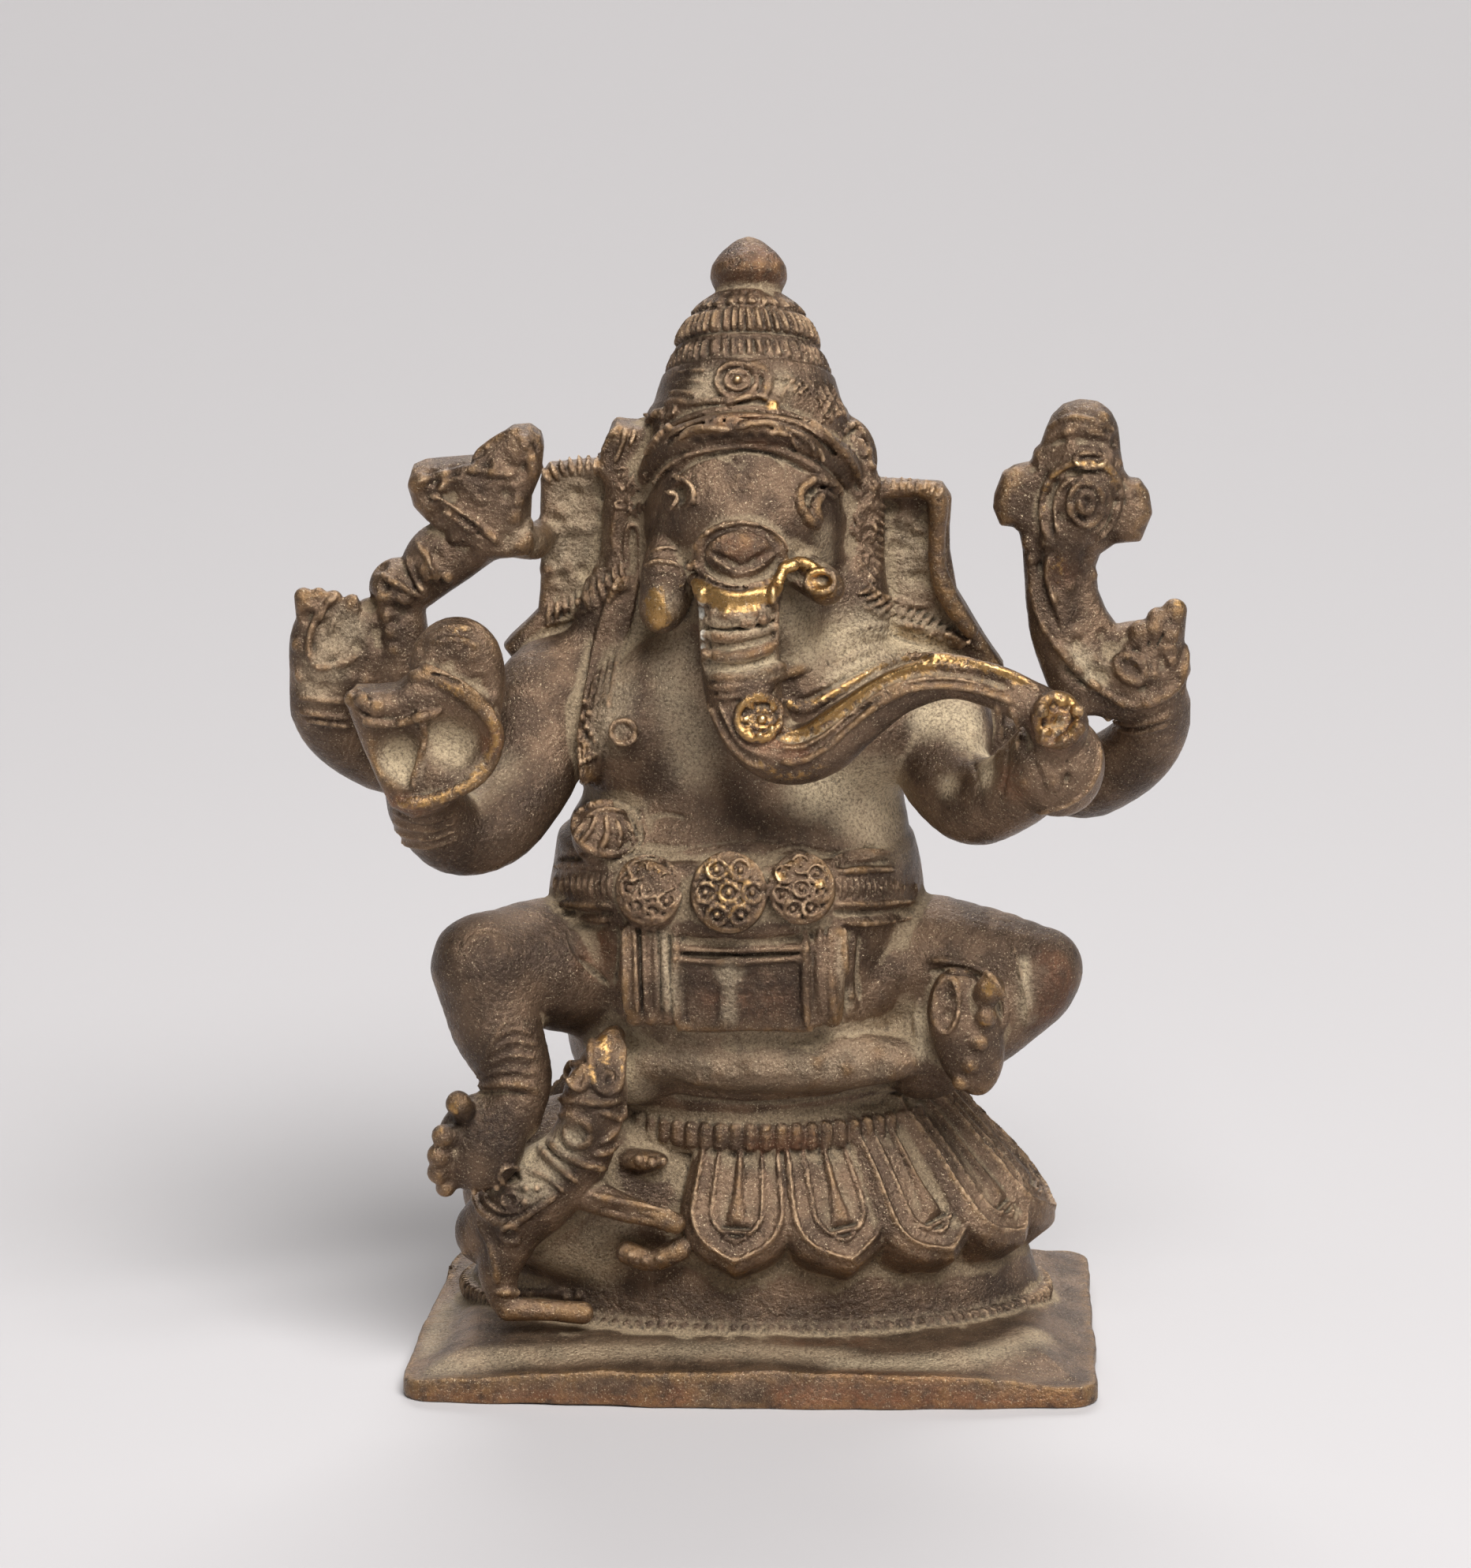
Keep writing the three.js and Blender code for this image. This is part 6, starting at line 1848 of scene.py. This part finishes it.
    # Painted shade: the finest creases turn near black
    colour = mix(times(attribute("crevice_shade"), 0.8), colour, SHADE_BLACK)
    colour = mix(times(ramped(grain, 0.5, 0.34), 0.4), colour, NIGHT)
    open_skin = math_node("SUBTRACT", 1.0, times(attribute("patina_and_shade"), 0.75))
    colour = mix(times(ramped(grain, 0.56, 0.72), times(open_skin, 0.3)), colour, SAND)
    colour = mix(times(ramped(speck, 0.65, 0.71), times(open_skin, 0.6)), colour, SAND)
    chalk = broken(attribute("chalk"), grain, 0.3)
    colour = mix(chalk, colour, WHITE)
    links.new(colour, shader.inputs["Base Color"])

    matt = math_node("MAXIMUM", math_node("MAXIMUM", dust, sand), chalk)
    roughness = blend(matt, 0.33, 0.85)
    roughness = blend(math_node("MAXIMUM", gold, worn_glint), roughness, 0.3)
    uneven = times(math_node("SUBTRACT", lump, 0.5), 0.4)
    links.new(math_node("ADD", roughness, uneven), shader.inputs["Roughness"])
    links.new(blend(gold, blend(matt, 0.75, 0.1), 0.95), shader.inputs["Metallic"])

    bump_node = nodes.new("ShaderNodeBump")
    bump_node.inputs["Distance"].default_value = RELIEF_DEPTH
    relief = math_node("ADD", grain, times(lump, 1.6))
    links.new(relief, bump_node.inputs["Height"])
    links.new(blend(gold, blend(matt, 0.65, 1.0), 0.3), bump_node.inputs["Strength"])
    links.new(bump_node.outputs["Normal"], shader.inputs["Normal"])
    return material


figure.data.materials.append(bronze_material())


# The studio


def plain_material(name, colour, roughness):
    material = bpy.data.materials.new(name)
    material.use_nodes = True
    shader = material.node_tree.nodes["Principled BSDF"]
    shader.inputs["Base Color"].default_value = (*colour, 1)
    shader.inputs["Roughness"].default_value = roughness
    return material


def floor():
    """A pale sweep: a long flat floor that turns up into a wall far behind."""
    FRONT = -2.4
    BACK_EDGE = 0.75
    RISE = 1.1
    HALF_WIDTH = 2.4
    BEND = 0.3
    BEND_STEPS = 12
    PAPER = (0.450, 0.433, 0.436)
    profile = [(FRONT, 0.0), (BACK_EDGE, 0.0)]
    for i in range(1, BEND_STEPS + 1):
        angle = math.pi / 2 * i / BEND_STEPS
        profile.append((BACK_EDGE + BEND * math.sin(angle), BEND * (1 - math.cos(angle))))
    profile.append((BACK_EDGE + BEND, RISE))
    points = [(side * HALF_WIDTH, y, z) for side in (-1, 1) for y, z in profile]
    count = len(profile)
    faces = [(count + i, count + i + 1, i + 1, i) for i in range(count - 1)]
    mesh = bpy.data.meshes.new("sweep")
    mesh.from_pydata(points, [], faces)
    mesh.polygons.foreach_set("use_smooth", [True] * len(mesh.polygons))
    sweep = bpy.data.objects.new("sweep", mesh)
    bpy.context.scene.collection.objects.link(sweep)
    sweep.data.materials.append(plain_material("paper", PAPER, 0.8))


def area_light(name, place, size, power):
    """A soft box that looks at the middle of the figure."""
    AIM = Vector((0, 0, 0.035))
    light = bpy.data.lights.new(name, "AREA")
    light.shape = "RECTANGLE"
    light.size, light.size_y = size
    light.energy = power
    lamp = bpy.data.objects.new(name, light)
    lamp.location = place
    towards = AIM - Vector(place)
    lamp.rotation_euler = towards.to_track_quat("-Z", "Y").to_euler()
    bpy.context.scene.collection.objects.link(lamp)


def camera():
    """The camera of the photo, a little above the figure and nearly square to its plate."""
    IMAGE_HEIGHT = 1988
    PIXELS_PER_MM = 17.951
    SENSOR = 36.0
    # The middle of the picture as (a, b)
    CENTRE = (-1.41, 2.93)
    lens = bpy.data.cameras.new("camera")
    lens.sensor_fit = "VERTICAL"
    lens.sensor_height = SENSOR
    lens.lens = SENSOR * PIXELS_PER_MM * CAMERA_DISTANCE / IMAGE_HEIGHT
    eye = bpy.data.objects.new("camera", lens)
    place = (TARGET + CAMERA_DISTANCE * BACK + CENTRE[0] * RIGHT + CENTRE[1] * UP) * MM
    eye.matrix_world = Matrix([
        (RIGHT[0], UP[0], BACK[0], place[0]),
        (RIGHT[1], UP[1], BACK[1], place[1]),
        (RIGHT[2], UP[2], BACK[2], place[2]),
        (0, 0, 0, 1),
    ])
    bpy.context.scene.collection.objects.link(eye)
    bpy.context.scene.camera = eye


def world():
    """A faint warm light from all sides, and plain colours in the picture."""
    WARM_WHITE = (1.0, 0.97, 0.95, 1)
    STRENGTH = 0.12
    made = bpy.data.worlds.new("studio")
    made.use_nodes = True
    background = made.node_tree.nodes["Background"]
    background.inputs["Color"].default_value = WARM_WHITE
    background.inputs["Strength"].default_value = STRENGTH
    bpy.context.scene.world = made
    bpy.context.scene.view_settings.view_transform = "Standard"


floor()
area_light("overhead", (0.18, -0.42, 0.64), (0.5, 0.4), 10.0)
area_light("backdrop", (0.0, 0.9, 0.8), (0.8, 0.4), 8.4)
area_light("left_box", (-0.65, -0.25, 0.35), (0.3, 0.5), 0.25)
area_light("right_box", (0.6, -0.3, 0.4), (0.3, 0.4), 0.2)
camera()
world()
